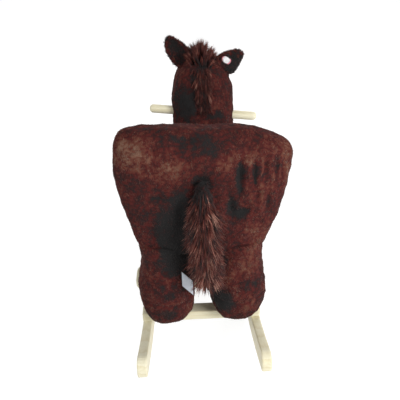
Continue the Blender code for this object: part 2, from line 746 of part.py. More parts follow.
def build_chest(neck_frame):
    """The plush chest round the seat board's front end and the foot of the neck board."""
    outline = rounded_outline(
        [
            (CHEST_REAR, SEAT_BOARD_BOTTOM, SEAM_RADIUS),
            (CHEST_FRONT, SEAT_BOARD_BOTTOM, CHEST_CORNER / 2),
            (CHEST_FRONT, CHEST_TOP, CHEST_CORNER),
            (CHEST_REAR, CHEST_TOP, CHEST_REAR_CORNER),
        ]
    )
    mesh = slab_mesh("chest", outline, "X", -CHEST_WIDTH / 2, CHEST_WIDTH / 2)
    chest = soften(add_object("chest", mesh, PLUSH), CHEST_EDGE, 2, 60)
    half_board = SEAT_BOARD_WIDTH / 2 + GAP
    low = (-half_board, CHEST_REAR - CUT_PAST, SEAT_BOARD_BOTTOM - CUT_PAST)
    high = (half_board, SEAT_BOARD_FRONT + GAP, SEAT_BOARD_TOP + GAP)
    cut(chest, cutting_box("seat_board_front_room", low, high), neck_room("chest", neck_frame))
    return chest


def neck_room(owner, neck_frame):
    """The slot in the owner that the neck board stands in, from the seat board up."""
    half = NECK_BOARD_THICKNESS / 2 + GAP
    half_depth = NECK_BOARD_DEPTH / 2 + GAP
    low = (-half, -half_depth, -NECK_BOARD_SINK)
    high = (half, half_depth, NECK_BOARD_HEIGHT + GAP)
    return cutting_box(owner + "_neck_room", low, high, neck_frame)


def head_stations():
    """Sections of the neck and skull, in the head's own leaning frame."""
    foot = CHEST_TOP - SEAT_BOARD_TOP - HEAD_SINK
    # Height, middle in y, and the shares of the full half width and half depth
    shape = [
        (foot, 0.014, 0.90, 1.00),
        (foot + NECK_LENGTH, 0.016, 0.94, 1.00),
        (HEAD_TOP * 0.67, 0.022, 1.00, 1.02),
        (HEAD_TOP * 0.75, 0.025, 0.96, 1.04),
        (HEAD_TOP * 0.81, 0.027, 0.87, 1.00),
        (HEAD_TOP * 0.87, 0.029, 0.70, 0.88),
        (HEAD_TOP * 0.92, 0.030, 0.52, 0.70),
        (HEAD_TOP * 0.97, 0.031, 0.33, 0.46),
        (HEAD_TOP, 0.032, 0.12, 0.18),
    ]
    return [(z, 0, y, HEAD_HALF_WIDTH * wide, HEAD_HALF_DEPTH * deep) for z, y, wide, deep in shape]


def build_head(chest, handle, neck_frame):
    """Neck and skull in one stuffed piece, with its muzzle, mane and eyes seated on it."""
    leaning = add_frame("head_frame", (HEAD_X, NECK_Y, SEAT_BOARD_TOP), (0, HEAD_LEAN, NECK_TURN))
    mesh = loft_mesh("head", head_stations(), "Z", HEAD_SIDES, HEAD_FULLNESS)
    head = add_object("head", mesh, PLUSH, parent=leaning)
    cut(head, grown(chest), neck_room("head", neck_frame), grown(handle))
    head_room = grown(head)

    mesh = loft_mesh("muzzle", muzzle_stations(), "Y", MUZZLE_SIDES, HEAD_FULLNESS)
    muzzle = add_object("muzzle", mesh, PLUSH, parent=leaning)
    cut(muzzle, head_room)

    mesh = slab_mesh("mane", mane_outline(), "X", -MANE_WIDTH / 2, MANE_WIDTH / 2)
    mane = soften(add_object("mane", mesh, LONG_PILE, parent=leaning), MANE_EDGE, 1, 60)
    cut(mane, head_room)

    for side, name in ((-1, "left"), (1, "right")):
        mesh = turned_mesh("eye_" + name, ball_profile(EYE_RADIUS), EYE_SIDES)
        at = (side * EYE_X, EYE_Y, EYE_HEIGHT)
        eye = add_object("eye_" + name, mesh, EYE_PLASTIC, at, parent=leaning)
        cut(head, grown(eye))
    return leaning, head_room


def muzzle_stations():
    """Sections from inside the face, where the head trims them, to the nose."""
    root = HEAD_HALF_DEPTH * 0.6
    # Share of the way to the tip, height, and the shares of the full half width and half height
    shape = [
        (0.00, 0.180, 1.00, 1.00),
        (0.35, 0.174, 0.96, 0.97),
        (0.65, 0.166, 0.89, 0.89),
        (0.88, 0.158, 0.78, 0.78),
        (0.97, 0.155, 0.50, 0.50),
        (1.00, 0.154, 0.16, 0.16),
    ]
    return [
        (root + (MUZZLE_TIP - root) * along, 0, z, MUZZLE_HALF_WIDTH * wide, MUZZLE_HALF_HEIGHT * high)
        for along, z, wide, high in shape
    ]


def mane_outline():
    """Side view of the mane: up the back of the neck and over the crown, its inner side in the head."""
    stations = head_stations()
    rear = [(middle - deep, z) for z, u, middle, wide, deep in stations[1:]]
    front = [(middle + deep, z) for z, u, middle, wide, deep in stations[-2:]]
    # The tuft rises only near the crown, so its height goes by a high power
    outer = [(y - MANE_THICKNESS, z + MANE_CROWN * (z / HEAD_TOP) ** 8) for y, z in rear]
    outer += [(y, z + MANE_CROWN) for y, z in reversed(front)]
    inside = HEAD_HALF_DEPTH * 0.7
    return outer + [(inside, HEAD_TOP * 0.80), (0.0, HEAD_TOP * 0.70), (-inside / 2, rear[0][1])]


def leaf_outline(length, width, root):
    """An ear seen flat: narrow at the base, widest near its middle, with a soft tip."""
    right = []
    for step in range(EAR_STEPS):
        share = step / EAR_STEPS
        if share < EAR_WIDEST_AT:
            rise = math.sin(math.pi / 2 * share / EAR_WIDEST_AT)
            half = width / 2 * (EAR_BASE_SHARE + (1 - EAR_BASE_SHARE) * rise)
        else:
            fall = math.cos(math.pi / 2 * (share - EAR_WIDEST_AT) / (1 - EAR_WIDEST_AT))
            half = width / 2 * fall**0.75
        right.append((half, share * length))
    right.insert(0, (width / 2 * EAR_BASE_SHARE, -root))
    return right + [(0.0, length)] + [(-half, along) for half, along in reversed(right)]


def build_ears(head_frame, head_room):
    """Two stuffed leaf-shaped ears. The right one droops and holds the press-to-play unit."""
    half = EAR_THICKNESS / 2
    kinds = (
        ("left", -EAR_LEFT_X, EAR_LEFT_LENGTH, EAR_LEFT_ANGLE, EAR_LEFT_ROOT),
        ("right", EAR_RIGHT_X, EAR_RIGHT_LENGTH, EAR_RIGHT_ANGLE, EAR_RIGHT_ROOT),
    )
    for name, x, length, angle, root in kinds:
        at = (x, EAR_Y, EAR_HEIGHT)
        ear_frame = add_frame(f"ear_{name}_frame", at, (0, angle, 0), head_frame)
        mesh = slab_mesh("ear_" + name, leaf_outline(length, EAR_WIDTH, root), "Y", -half, half)
        ear = soften(add_object("ear_" + name, mesh, PLUSH, parent=ear_frame), EAR_EDGE, 2, 50)
        cut(ear, head_room)
        if name == "right":
            build_sound_unit(ear, ear_frame)


def build_sound_unit(ear, ear_frame):
    """A cup in the back of the ear with a board in it, and the press button and its rim over it."""
    back = -EAR_THICKNESS / 2
    facing = (math.radians(90), 0, 0)
    at = (BUTTON_ACROSS, back, BUTTON_ALONG)
    outer, inner = HOUSING_RADIUS, HOUSING_RADIUS - HOUSING_WALL
    rear_face = -HOUSING_INSET
    profile = [
        (0, -HOUSING_DEPTH),
        (outer, -HOUSING_DEPTH),
        (outer, rear_face),
        (inner, rear_face),
        (inner, -HOUSING_DEPTH + HOUSING_WALL),
        (0, -HOUSING_DEPTH + HOUSING_WALL),
    ]
    mesh = turned_mesh("sound_housing", profile, ROUND_SIDES)
    add_object("sound_housing", mesh, WHITE_PLASTIC, at, facing, ear_frame)
    floor, side = -HOUSING_DEPTH - GAP, outer + GAP
    room = [(0, floor), (side, floor), (side, CUT_PAST), (0, CUT_PAST)]
    pocket = turned_mesh("sound_room", room, ROUND_SIDES)
    cut(ear, as_cutter(add_object("sound_room", pocket, WHITE_PLASTIC, at, facing, ear_frame)))

    board_bottom = -HOUSING_DEPTH + HOUSING_WALL + GAP
    board_top = board_bottom + SOUND_BOARD_THICKNESS
    board_radius = inner - BOARD_CLEARANCE
    profile = [(0, board_bottom), (board_radius, board_bottom), (board_radius, board_top), (0, board_top)]
    mesh = turned_mesh("sound_board", profile, ROUND_SIDES)
    add_object("sound_board", mesh, CIRCUIT, at, facing, ear_frame)

    low, high = BUTTON_PROUD - BUTTON_THICKNESS, BUTTON_PROUD
    flange = (inner + BUTTON_RADIUS) / 2
    profile = [
        (0, low),
        (flange, low),
        (flange, low + BUTTON_FLANGE),
        (BUTTON_RADIUS, low + BUTTON_FLANGE),
        (BUTTON_RADIUS, high - BUTTON_EDGE),
        (BUTTON_RADIUS - 2 * BUTTON_EDGE, high),
        (0, high),
    ]
    mesh = turned_mesh("ear_button", profile, ROUND_SIDES)
    add_object("ear_button", mesh, PATCH, at, facing, ear_frame)

    rim_inner = BUTTON_RADIUS + 2 * GAP
    profile = [
        (rim_inner, GAP),
        (RIM_RADIUS, GAP),
        (RIM_RADIUS - RIM_EDGE, GAP + RIM_THICKNESS),
        (rim_inner + RIM_EDGE, GAP + RIM_THICKNESS),
    ]
    mesh = ring_mesh("ear_patch_rim", profile, ROUND_SIDES)
    add_object("ear_patch_rim", mesh, RIM, at, facing, ear_frame)


def ring_mesh(name, profile, sides):
    """A closed profile of (radius, height) turned round Z, with a hole in the middle."""
    work = bmesh.new()
    rings = []
    for step in range(sides):
        angle = 2 * math.pi * step / sides
        c, s = math.cos(angle), math.sin(angle)
        rings.append([work.verts.new((radius * c, radius * s, height)) for radius, height in profile])
    count = len(profile)
    for step in range(sides):
        here, there = rings[step], rings[(step + 1) % sides]
        for index in range(count):
            after = (index + 1) % count
            work.faces.new((here[index], here[after], there[after], there[index]))
    return finish_mesh(name, work)


def build_tail():
    """A long-pile tail that hangs from its sewn root, which is its hinge."""
    hinge = add_frame("tail_hinge", (TAIL_X, BACK_REAR - GAP, TAIL_TOP))
    # Share of the way down, shares of the full half width and half depth, and of the outward slope
    shape = [
        (0.00, 0.48, 0.50, 0.0),
        (0.10, 0.80, 0.85, 0.1),
        (0.30, 0.95, 1.00, 0.5),
        (0.65, 1.00, 1.00, 1.0),
        (0.88, 0.90, 0.92, 1.0),
        (0.97, 0.60, 0.60, 1.0),
        (1.00, 0.25, 0.25, 1.0),
    ]
    stations = []
    for down, wide, deep, out in shape:
        half_depth = TAIL_HALF_DEPTH * deep
        rear = -half_depth - TAIL_SLOPE * out
        stations.append((-down * TAIL_LENGTH, 0, rear, TAIL_HALF_WIDTH * wide, half_depth))
    mesh = loft_mesh("tail", stations, "Z", TAIL_SIDES, 2.0)
    add_object("tail", mesh, LONG_PILE, parent=hinge)


def build_tag():
    """The blank care label, a folded strip that hangs askew against the rear left leg."""
    half = TAG_WIDTH / 2
    size = leg_size_at(TAG_TOP - TAG_HEIGHT)
    across = (TAG_X - half + POST_X - LEG_SHIFT) / (LEG_HALF_WIDTH * size)
    depth = LEG_HALF_DEPTH * size * (1 - across**LEG_FULLNESS) ** (1 / LEG_FULLNESS)
    front = -BAR_Y - depth - GAP
    outline = [(-half, 0), (-half, -TAG_HEIGHT), (half, -TAG_HEIGHT - TAG_SKEW), (half, -TAG_SKEW)]
    mesh = slab_mesh("care_tag", outline, "Y", front - TAG_THICKNESS, front)
    add_object("care_tag", mesh, SATIN, (TAG_X, 0, TAG_TOP))


clear_scene()
WOOD = make_material("pale wood", (0.78, 0.68, 0.45), 0.55)
PLYWOOD = make_material("plywood", (0.70, 0.56, 0.36), 0.60)
STEEL = make_material("zinc steel", (0.62, 0.62, 0.60), 0.35, 1.0)
PLUSH = make_material("brown plush", (0.085, 0.030, 0.022), 0.90)
LONG_PILE = make_material("brown long pile", (0.070, 0.026, 0.020), 0.85)
FOAM = make_material("foam", (0.80, 0.76, 0.62), 0.95)
EYE_PLASTIC = make_material("eye plastic", (0.02, 0.012, 0.010), 0.12)
WHITE_PLASTIC = make_material("white plastic", (0.75, 0.75, 0.74), 0.40)
CIRCUIT = make_material("circuit board", (0.05, 0.22, 0.10), 0.50)
PATCH = make_material("white patch", (0.85, 0.84, 0.84), 0.80)
RIM = make_material("pink rim", (0.75, 0.25, 0.30), 0.80)
SATIN = make_material("white satin", (0.72, 0.75, 0.80), 0.45)

base_pieces = build_base()
frame_pieces = build_frame(base_pieces)
neck_empty, handle_piece = build_neck(frame_pieces)
build_legs()
build_back()
build_seat()
chest_piece = build_chest(neck_empty)
head_empty, head_cutter = build_head(chest_piece, handle_piece, neck_empty)
build_ears(head_empty, head_cutter)
build_tail()
build_tag()
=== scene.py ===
import math

import bpy
import bmesh
import numpy as np
from mathutils import Matrix, Quaternion, Vector
from mathutils.bvhtree import BVHTree


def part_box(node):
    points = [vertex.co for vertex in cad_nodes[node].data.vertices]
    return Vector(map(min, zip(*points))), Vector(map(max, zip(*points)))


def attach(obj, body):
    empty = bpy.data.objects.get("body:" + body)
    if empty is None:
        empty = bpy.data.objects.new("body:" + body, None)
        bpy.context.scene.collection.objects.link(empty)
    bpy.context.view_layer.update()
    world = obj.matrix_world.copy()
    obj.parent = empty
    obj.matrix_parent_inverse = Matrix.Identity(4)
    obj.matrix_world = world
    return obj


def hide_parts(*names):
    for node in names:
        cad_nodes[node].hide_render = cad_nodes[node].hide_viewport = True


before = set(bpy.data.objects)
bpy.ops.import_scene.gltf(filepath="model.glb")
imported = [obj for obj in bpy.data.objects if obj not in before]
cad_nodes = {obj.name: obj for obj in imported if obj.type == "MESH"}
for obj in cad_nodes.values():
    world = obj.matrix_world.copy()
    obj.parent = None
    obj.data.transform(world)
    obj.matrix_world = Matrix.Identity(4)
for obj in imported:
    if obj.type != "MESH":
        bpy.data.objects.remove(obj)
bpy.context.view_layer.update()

# Lengths are in metres, in the frame of the CAD, and in millimetres in the tables that say so.
# The horse looks along +Y, and +X is to the rider's right.
VOXEL = 0.005
FINE_VOXEL = 0.002
PILE_LENGTH = 0.0052
PILE_WIDTH = 0.00085
PILE_PER_M2 = 300000
PILE_SUNK = 0.0008
DOWN = (0.0, 0.0, -1.0)

# How the covers stretch, how hard their stuffing presses, for how long, and how far it may move them
CLOTH = {
    "quality": 4,
    "mass": 0.25,
    "tension_stiffness": 12,
    "compression_stiffness": 12,
    "shear_stiffness": 4,
    "bending_stiffness": 0.3,
    "use_pressure": True,
    "uniform_pressure_force": 4.0,
}
STUFFING_FRAMES = 20
STUFFING_TRAVEL = 0.006


def unit(vectors):
    return vectors / np.maximum(np.linalg.norm(vectors, axis=-1, keepdims=True), 1e-9)


def metres(rows, lengths=None):
    """A table whose first columns, or all of them, turn from millimetres into metres."""
    table = np.array(rows, float)
    table[:, :lengths] /= 1000
    return table


def bump(distance):
    """1 at distance 0, falling smoothly to almost nothing at 2."""
    return np.exp(-distance * distance)


def eased(share):
    """A smooth rise from 0 to 1."""
    share = np.clip(share, 0, 1)
    return share * share * (3 - 2 * share)


def waves(points, size, seed, count=14):
    """Smooth noise of about -1 to 1 at each point, with features of about the given size."""
    rng = np.random.default_rng(seed)
    directions = rng.normal(size=(count, 3))
    directions /= np.linalg.norm(directions, axis=1)[:, None]
    lengths = size * rng.uniform(0.7, 1.6, count)
    phases = rng.uniform(0, 2 * math.pi, count)
    turned = points @ (directions * (2 * math.pi / lengths)[:, None]).T + phases
    return np.sin(turned).sum(1) / math.sqrt(count / 2) / 1.4


def unevenness(points, seed, large, small):
    """Large and small waves in a surface, each given as its height and its size."""
    return large[0] * waves(points, large[1], seed) + small[0] * waves(points, small[1], seed + 1)


def clumps(points, size, seed):
    """The way from each point to the middle of its clump, in clump sizes, and the clump's value, -1 to 1."""
    warp = np.stack([waves(points, 3 * size, seed + k) for k in range(3)], axis=1)
    grid = points / size + 0.35 * warp
    cell = np.floor(grid)
    own = 43758.5 * np.sin(cell @ np.array([12.99, 78.23, 37.72]) + seed)
    return cell + 0.5 - grid, 2 * (own - np.floor(own)) - 1


# Materials. Colours are 8-bit sRGB numbers.


def srgb(r, g, b):
    """Linear colour from 8-bit sRGB numbers."""
    shares = [value / 255 for value in (r, g, b)]
    return (*(s / 12.92 if s <= 0.04045 else ((s + 0.055) / 1.055) ** 2.4 for s in shares), 1.0)


def set_inputs(node, values):
    for name, value in values.items():
        node.inputs[name].default_value = value


def new_material(name, settings):
    """A material, its node tree and its shader, which has the settings."""
    material = bpy.data.materials.new(name)
    material.use_nodes = True
    shader = material.node_tree.nodes["Principled BSDF"]
    set_inputs(shader, settings)
    return material, material.node_tree, shader


def link(tree, source, target):
    tree.links.new(source, target)


def object_vector(tree, scale=(1, 1, 1)):
    place = tree.nodes.new("ShaderNodeTexCoord")
    mapping = tree.nodes.new("ShaderNodeMapping")
    mapping.inputs["Scale"].default_value = scale
    link(tree, place.outputs["Object"], mapping.inputs["Vector"])
    return mapping.outputs["Vector"]


def texture_node(tree, kind, vector, settings, output="Fac"):
    node = tree.nodes.new("ShaderNodeTex" + kind)
    set_inputs(node, settings)
    link(tree, vector, node.inputs["Vector"])
    return node.outputs[output]


def noise_node(tree, vector, scale, detail=3.0, roughness=0.55):
    return texture_node(tree, "Noise", vector, {"Scale": scale, "Detail": detail, "Roughness": roughness})


def cells_node(tree, scale):
    return texture_node(tree, "Voronoi", object_vector(tree), {"Scale": scale}, "Distance")


def bands_node(tree, vector, direction, scale, distortion, detail_scale=1.0, profile="SIN"):
    settings = {"Scale": scale, "Distortion": distortion, "Detail": 2.0, "Detail Scale": detail_scale}
    bands = texture_node(tree, "Wave", vector, settings)
    bands.node.bands_direction = direction
    bands.node.wave_profile = profile
    return bands


def ramp_node(tree, factor, stops):
    """A colour ramp. A stop is its place and then a colour, or one level of grey from 0 to 1."""
    node = tree.nodes.new("ShaderNodeValToRGB")
    elements = node.color_ramp.elements
    while len(elements) < len(stops):
        elements.new(0.5)
    for element, (place, *color) in zip(elements, stops):
        element.position = place
        element.color = srgb(*color) if len(color) == 3 else (*color * 3, 1.0)
    link(tree, factor, node.inputs["Fac"])
    return node.outputs["Color"]


def fill_sockets(tree, sockets, values):
    for socket, value in zip(sockets, values):
        if isinstance(value, (int, float, tuple)):
            socket.default_value = value
        else:
            link(tree, value, socket)


def math_node(tree, operation, *values):
    node = tree.nodes.new("ShaderNodeMath")
    node.operation = operation
    fill_sockets(tree, node.inputs, values)
    return node.outputs["Value"]


def mix_node(tree, factor, first, second):
    node = tree.nodes.new("ShaderNodeMix")
    node.data_type = "RGBA"
    fill_sockets(tree, (node.inputs[0], node.inputs[6], node.inputs[7]), (factor, first, second))
    return node.outputs[2]


def attribute_node(tree, name):
    node = tree.nodes.new("ShaderNodeAttribute")
    node.attribute_name = name
    return node.outputs["Fac"]


def bump_node(tree, shader, height, strength, distance):
    node = tree.nodes.new("ShaderNodeBump")
    set_inputs(node, {"Strength": strength, "Distance": distance})
    link(tree, height, node.inputs["Height"])
    link(tree, node.outputs["Normal"], shader.inputs["Normal"])


# From nap brushed away from the light to nap that faces it
PLUSH_STOPS = [
    (0.00, 36, 35, 35),
    (0.12, 38, 33, 33),
    (0.25, 52, 29, 28),
    (0.45, 78, 32, 30),
    (0.65, 96, 57, 46),
    (0.85, 118, 87, 72),
    (1.00, 138, 110, 95),
]
LONG_PILE_STOPS = [
    (0.00, 44, 41, 41),
    (0.25, 56, 37, 35),
    (0.50, 90, 41, 36),
    (0.75, 136, 78, 66),
    (1.00, 196, 148, 130),
]
# One growth band of the softwood
GROWTH_STOPS = [(0.0, 232, 226, 198), (0.55, 228, 220, 188), (0.92, 212, 198, 154), (1.0, 230, 223, 194)]
# From the middle of the pupil to behind the iris
EYE_STOPS = [(0.26, 5, 4, 4), (0.29, 92, 46, 20), (0.48, 136, 76, 34), (0.56, 16, 10, 8)]


def pile_material(name, stops):
    """Pile whose shade was written on each strand, with a little fine noise along it."""
    material, tree, shader = new_material(
        name, {"Roughness": 0.62, "Specular IOR Level": 0.10, "Sheen Weight": 0.04, "Sheen Roughness": 0.5}
    )
    fine = math_node(tree, "MULTIPLY_ADD", noise_node(tree, object_vector(tree), 420, 2.0), 0.16, -0.08)
    tone = math_node(tree, "ADD", attribute_node(tree, "shade"), fine)
    link(tree, ramp_node(tree, tone, stops), shader.inputs["Base Color"])
    return material


def backing_material():
    """The knitted backing that shows between the strands."""
    material, tree, shader = new_material("plush_backing", {"Roughness": 0.95, "Specular IOR Level": 0.1})
    nap = noise_node(tree, object_vector(tree, (1, 1, 0.4)), 520, 3.0)
    # Darker than the pile: painted shade between the strands
    darker = math_node(tree, "SUBTRACT", attribute_node(tree, "shade"), 0.24)
    tone = math_node(tree, "ADD", darker, math_node(tree, "MULTIPLY", nap, 0.30))
    link(tree, ramp_node(tree, tone, PLUSH_STOPS), shader.inputs["Base Color"])
    bump_node(tree, shader, nap, 0.8, 0.002)
    return material


def wood_material(name, grain):
    """Planed softwood with its grain along one axis: soft growth bands, fine streaks, a few pores."""
    material, tree, shader = new_material(name, {"Coat Weight": 0.12, "Coat Roughness": 0.35})
    squeeze = [0.07 if axis == grain else 1.0 for axis in "xyz"]
    vector = object_vector(tree, squeeze)
    bend = noise_node(tree, vector, 14, 2.0)
    bands = bands_node(tree, vector, "X" if grain == "z" else "Z", 26, 5.0, 1.6, "SAW")
    streaks = noise_node(tree, vector, 330, 4.0, 0.6)
    pores = noise_node(tree, object_vector(tree, [3 * s for s in squeeze]), 520, 1.0)
    fine = ramp_node(tree, streaks, [(0.3, 204, 192, 150), (0.7, 240, 236, 214)])
    cloudy = ramp_node(tree, bend, [(0.3, 218, 208, 172), (0.7, 242, 238, 218)])
    color = mix_node(tree, 0.35, ramp_node(tree, bands, GROWTH_STOPS), fine)
    color = mix_node(tree, 0.30, color, cloudy)
    color = mix_node(tree, ramp_node(tree, pores, [(0.70, 0.0), (0.78, 0.5)]), color, srgb(186, 162, 118))
    link(tree, color, shader.inputs["Base Color"])
    link(tree, ramp_node(tree, streaks, [(0.2, 0.42), (0.8, 0.58)]), shader.inputs["Roughness"])
    bump_node(tree, shader, streaks, 0.12, 0.0006)
    return material


def plywood_material():
    """Plywood with thin plies seen at the edges and rotary-cut grain on the faces."""
    material, tree, shader = new_material("plywood_grain", {"Roughness": 0.7})
    figure = noise_node(tree, object_vector(tree, (1, 0.1, 1)), 60, 4.0)
    plies = bands_node(tree, object_vector(tree), "Z", 110, 0.4)
    face = ramp_node(tree, figure, [(0.3, 196, 166, 118), (0.7, 226, 200, 152)])
    edge = ramp_node(tree, plies, [(0.4, 150, 116, 74), (0.6, 224, 198, 150)])
    link(tree, mix_node(tree, 0.25, face, edge), shader.inputs["Base Color"])
    bump_node(tree, shader, figure, 0.15, 0.0006)
    return material


def steel_material():
    """Zinc plate with a faint spangle and fine scratches."""
    material, tree, shader = new_material("zinc_plate", {"Metallic": 1.0})
    scratches = noise_node(tree, object_vector(tree, (1, 1, 0.1)), 900, 3.0)
    color = ramp_node(tree, cells_node(tree, 700), [(0.0, 206, 206, 202), (0.7, 176, 177, 176)])
    link(tree, color, shader.inputs["Base Color"])
    link(tree, ramp_node(tree, scratches, [(0.3, 0.28), (0.7, 0.45)]), shader.inputs["Roughness"])
    bump_node(tree, shader, scratches, 0.1, 0.0003)
    return material


def foam_material():
    """Open-cell foam."""
    material, tree, shader = new_material("open_foam", {"Roughness": 0.95})
    cells = cells_node(tree, 900)
    color = ramp_node(tree, cells, [(0.0, 190, 180, 146), (0.5, 232, 226, 200)])
    link(tree, color, shader.inputs["Base Color"])
    bump_node(tree, shader, cells, 0.6, 0.001)
    return material


def plastic_material(name, low, high, rough, coat=0.0):
    """Moulded plastic with a very light texture and small shifts in shade."""
    settings = {"Roughness": rough, "Coat Weight": coat, "Coat Roughness": 0.03}
    material, tree, shader = new_material(name, settings)
    cloud = noise_node(tree, object_vector(tree), 90, 3.0)
    link(tree, ramp_node(tree, cloud, [(0.3, *low), (0.7, *high)]), shader.inputs["Base Color"])
    bump_node(tree, shader, noise_node(tree, object_vector(tree), 1500, 2.0), 0.05, 0.0002)
    return material


def eye_material():
    """Glossy plastic: a dark pupil in a brown iris with fine spokes, from the angle written on each point."""
    material, tree, shader = new_material("eye_gloss", {"Roughness": 0.12, "Specular IOR Level": 0.3})
    spokes = math_node(tree, "MULTIPLY", noise_node(tree, object_vector(tree), 900, 2.0), 0.06)
    place = math_node(tree, "ADD", attribute_node(tree, "ring"), spokes)
    share = math_node(tree, "MULTIPLY", place, 0.5)
    link(tree, ramp_node(tree, share, EYE_STOPS), shader.inputs["Base Color"])
    return material


def weave_material(name, low, high, scale, rough, sheen=0.0):
    """A woven or stitched cloth: crossing threads with small shifts in shade."""
    material, tree, shader = new_material(name, {"Roughness": rough, "Sheen Weight": sheen})
    threads = [bands_node(tree, object_vector(tree), direction, scale, 0.6) for direction in "XZ"]
    height = math_node(tree, "MULTIPLY", *threads)
    cloud = math_node(tree, "MULTIPLY", noise_node(tree, object_vector(tree), 160, 3.0), 0.6)
    tone = math_node(tree, "ADD", math_node(tree, "MULTIPLY", height, 0.4), cloud)
    link(tree, ramp_node(tree, tone, [(0.2, *low), (0.7, *high)]), shader.inputs["Base Color"])
    bump_node(tree, shader, height, 0.35, 0.0004)
    return material


BACKING = backing_material()
PILE = pile_material("plush_pile", PLUSH_STOPS)
LONG_PILE = pile_material("long_pile", LONG_PILE_STOPS)
WOOD = {axis: wood_material("pale_pine_" + axis, axis) for axis in "xyz"}
PLYWOOD = plywood_material()
STEEL = steel_material()
FOAM = foam_material()
WHITE_PLASTIC = plastic_material("white_plastic", (224, 224, 220), (236, 236, 233), 0.45)
BOARD_GREEN = plastic_material("board_green", (28, 92, 50), (40, 116, 66), 0.4, 0.3)
EYE = eye_material()
PATCH = weave_material("patch_felt", (240, 239, 241), (253, 253, 253), 700, 0.85)
RIM = weave_material("rim_thread", (216, 104, 120), (246, 186, 192), 900, 0.45, 0.2)
SATIN = weave_material("satin_ribbon", (178, 183, 193), (208, 212, 221), 1500, 0.38, 0.1)
STITCH = weave_material("dark_thread", (16, 11, 11), (40, 24, 22), 1100, 0.6)


# Mesh helpers


def assign(target, values):
    for name, value in values.items():
        setattr(target, name, value)


def new_object(name, mesh, material):
    made = bpy.data.objects.new(name, mesh)
    bpy.context.scene.collection.objects.link(made)
    if material is not None:
        mesh.materials.append(material)
    return made


def mesh_object(name, points, faces, material):
    mesh = bpy.data.meshes.new(name)
    mesh.from_pydata([tuple(p) for p in points], [], faces)
    mesh.validate()
    mesh.shade_smooth()
    return new_object(name, mesh, material)


def object_from(work, name, material=None):
    """An object with the mesh that was worked on."""
    mesh = bpy.data.meshes.new(name)
    work.to_mesh(mesh)
    work.free()
    return new_object(name, mesh, material)


def points_of(made, what="co"):
    vertices = made.data.vertices
    values = np.empty(len(vertices) * 3)
    vertices.foreach_get(what, values)
    return values.reshape(-1, 3)


def normals_of(made):
    return points_of(made, "normal")


def set_points(made, places):
    made.data.vertices.foreach_set("co", np.ascontiguousarray(places, dtype=np.float64).ravel())
    made.data.update()


def write_values(mesh, name, values):
    """Writes a number on each point, which a material reads."""
    attribute = mesh.attributes.new(name, "FLOAT", "POINT")
    attribute.data.foreach_set("value", np.asarray(values).ravel().astype(np.float32))


def modified(made, kind, **settings):
    """The object's mesh becomes what one modifier makes of it."""
    assign(made.modifiers.new(kind.lower(), kind), settings)
    graph = bpy.context.evaluated_depsgraph_get()
    result = bpy.data.meshes.new_from_object(made.evaluated_get(graph))
    made.modifiers.clear()
    made.data = result
    return made


def remeshed(made, size, rounds=4):
    modified(made, "REMESH", mode="VOXEL", voxel_size=size, use_smooth_shade=True)
    return modified(made, "SMOOTH", factor=0.5, iterations=rounds)


def subdivided(made):
    return modified(made, "SUBSURF", levels=1, render_levels=1)


def blow_up(made, held, travel):
    """Moves a cover as its stuffing does. held gives 0 to 1 for each point: how firmly a seam holds it."""
    start = points_of(made)
    scene = bpy.context.scene
    step = made.modifiers.new("stuffing", "CLOTH")
    settings = step.settings
    assign(settings, CLOTH)
    settings.effector_weights.gravity = 0
    step.collision_settings.use_collision = False
    step.point_cache.frame_start = 1
    step.point_cache.frame_end = STUFFING_FRAMES
    if held is not None:
        group = made.vertex_groups.new(name="seams")
        weights = held(start)
        for index in np.flatnonzero(weights > 0.02):
            group.add([int(index)], float(weights[index]), "REPLACE")
        settings.vertex_group_mass = "seams"
        settings.pin_stiffness = 1.0
    for number in range(1, STUFFING_FRAMES + 1):
        scene.frame_set(number)
    graph = bpy.context.evaluated_depsgraph_get()
    moved = points_of(made.evaluated_get(graph)) - start
    made.modifiers.clear()
    made.vertex_groups.clear()
    scene.frame_set(1)
    moved *= np.minimum(1, travel / np.maximum(np.linalg.norm(moved, axis=1), 1e-9))[:, None]
    set_points(made, start + moved)


def plumped(made, held=None, travel=STUFFING_TRAVEL):
    """Stuffs a cover and makes it finer. Gives its points and the normals there."""
    blow_up(made, held, travel)
    subdivided(made)
    return points_of(made), normals_of(made)


def superellipse(half_a, half_b, power, sides):
    """Points of a rounded rectangle between an ellipse (power 2) and a box."""
    turns = np.linspace(0, 2 * math.pi, sides, endpoint=False)
    halves = [(half_a, np.cos(turns)), (half_b, np.sin(turns))]
    return np.stack([half * np.sign(c) * np.abs(c) ** (2 / power) for half, c in halves], axis=1)


def ring_at(place, first, second, half_a, half_b, sides, power=2.0):
    """A ring of points round a place, across two directions."""
    return [place + a * first + b * second for a, b in superellipse(half_a, half_b, power, sides)]


def level_rings(stations, power, sides):
    """Level rings from (height, left, right, y centre, half depth)."""
    rings = []
    for z, left, right, y, half_depth in stations:
        flat = superellipse((right - left) / 2, half_depth, power, sides)
        rings.append([((left + right) / 2 + a, y + b, z) for a, b in flat])
    return rings


def loft(name, rings, material, hoop=False):
    """A body through rings with the same number of points, capped at both ends or closed into a hoop."""
    count, sides = len(rings), len(rings[0])
    faces = []
    for i in range(count if hoop else count - 1):
        for j in range(sides):
            k, n = (j + 1) % sides, (i + 1) % count
            faces.append((i * sides + j, i * sides + k, n * sides + k, n * sides + j))
    if not hoop:
        faces.append(tuple(reversed(range(sides))))
        faces.append(tuple((count - 1) * sides + j for j in range(sides)))
    return mesh_object(name, [p for ring in rings for p in ring], faces, material)


def outward(made):
    """Turns all faces of a closed body outward."""
    work = bmesh.new()
    work.from_mesh(made.data)
    bmesh.ops.recalc_face_normals(work, faces=work.faces)
    work.to_mesh(made.data)
    work.free()
    return made


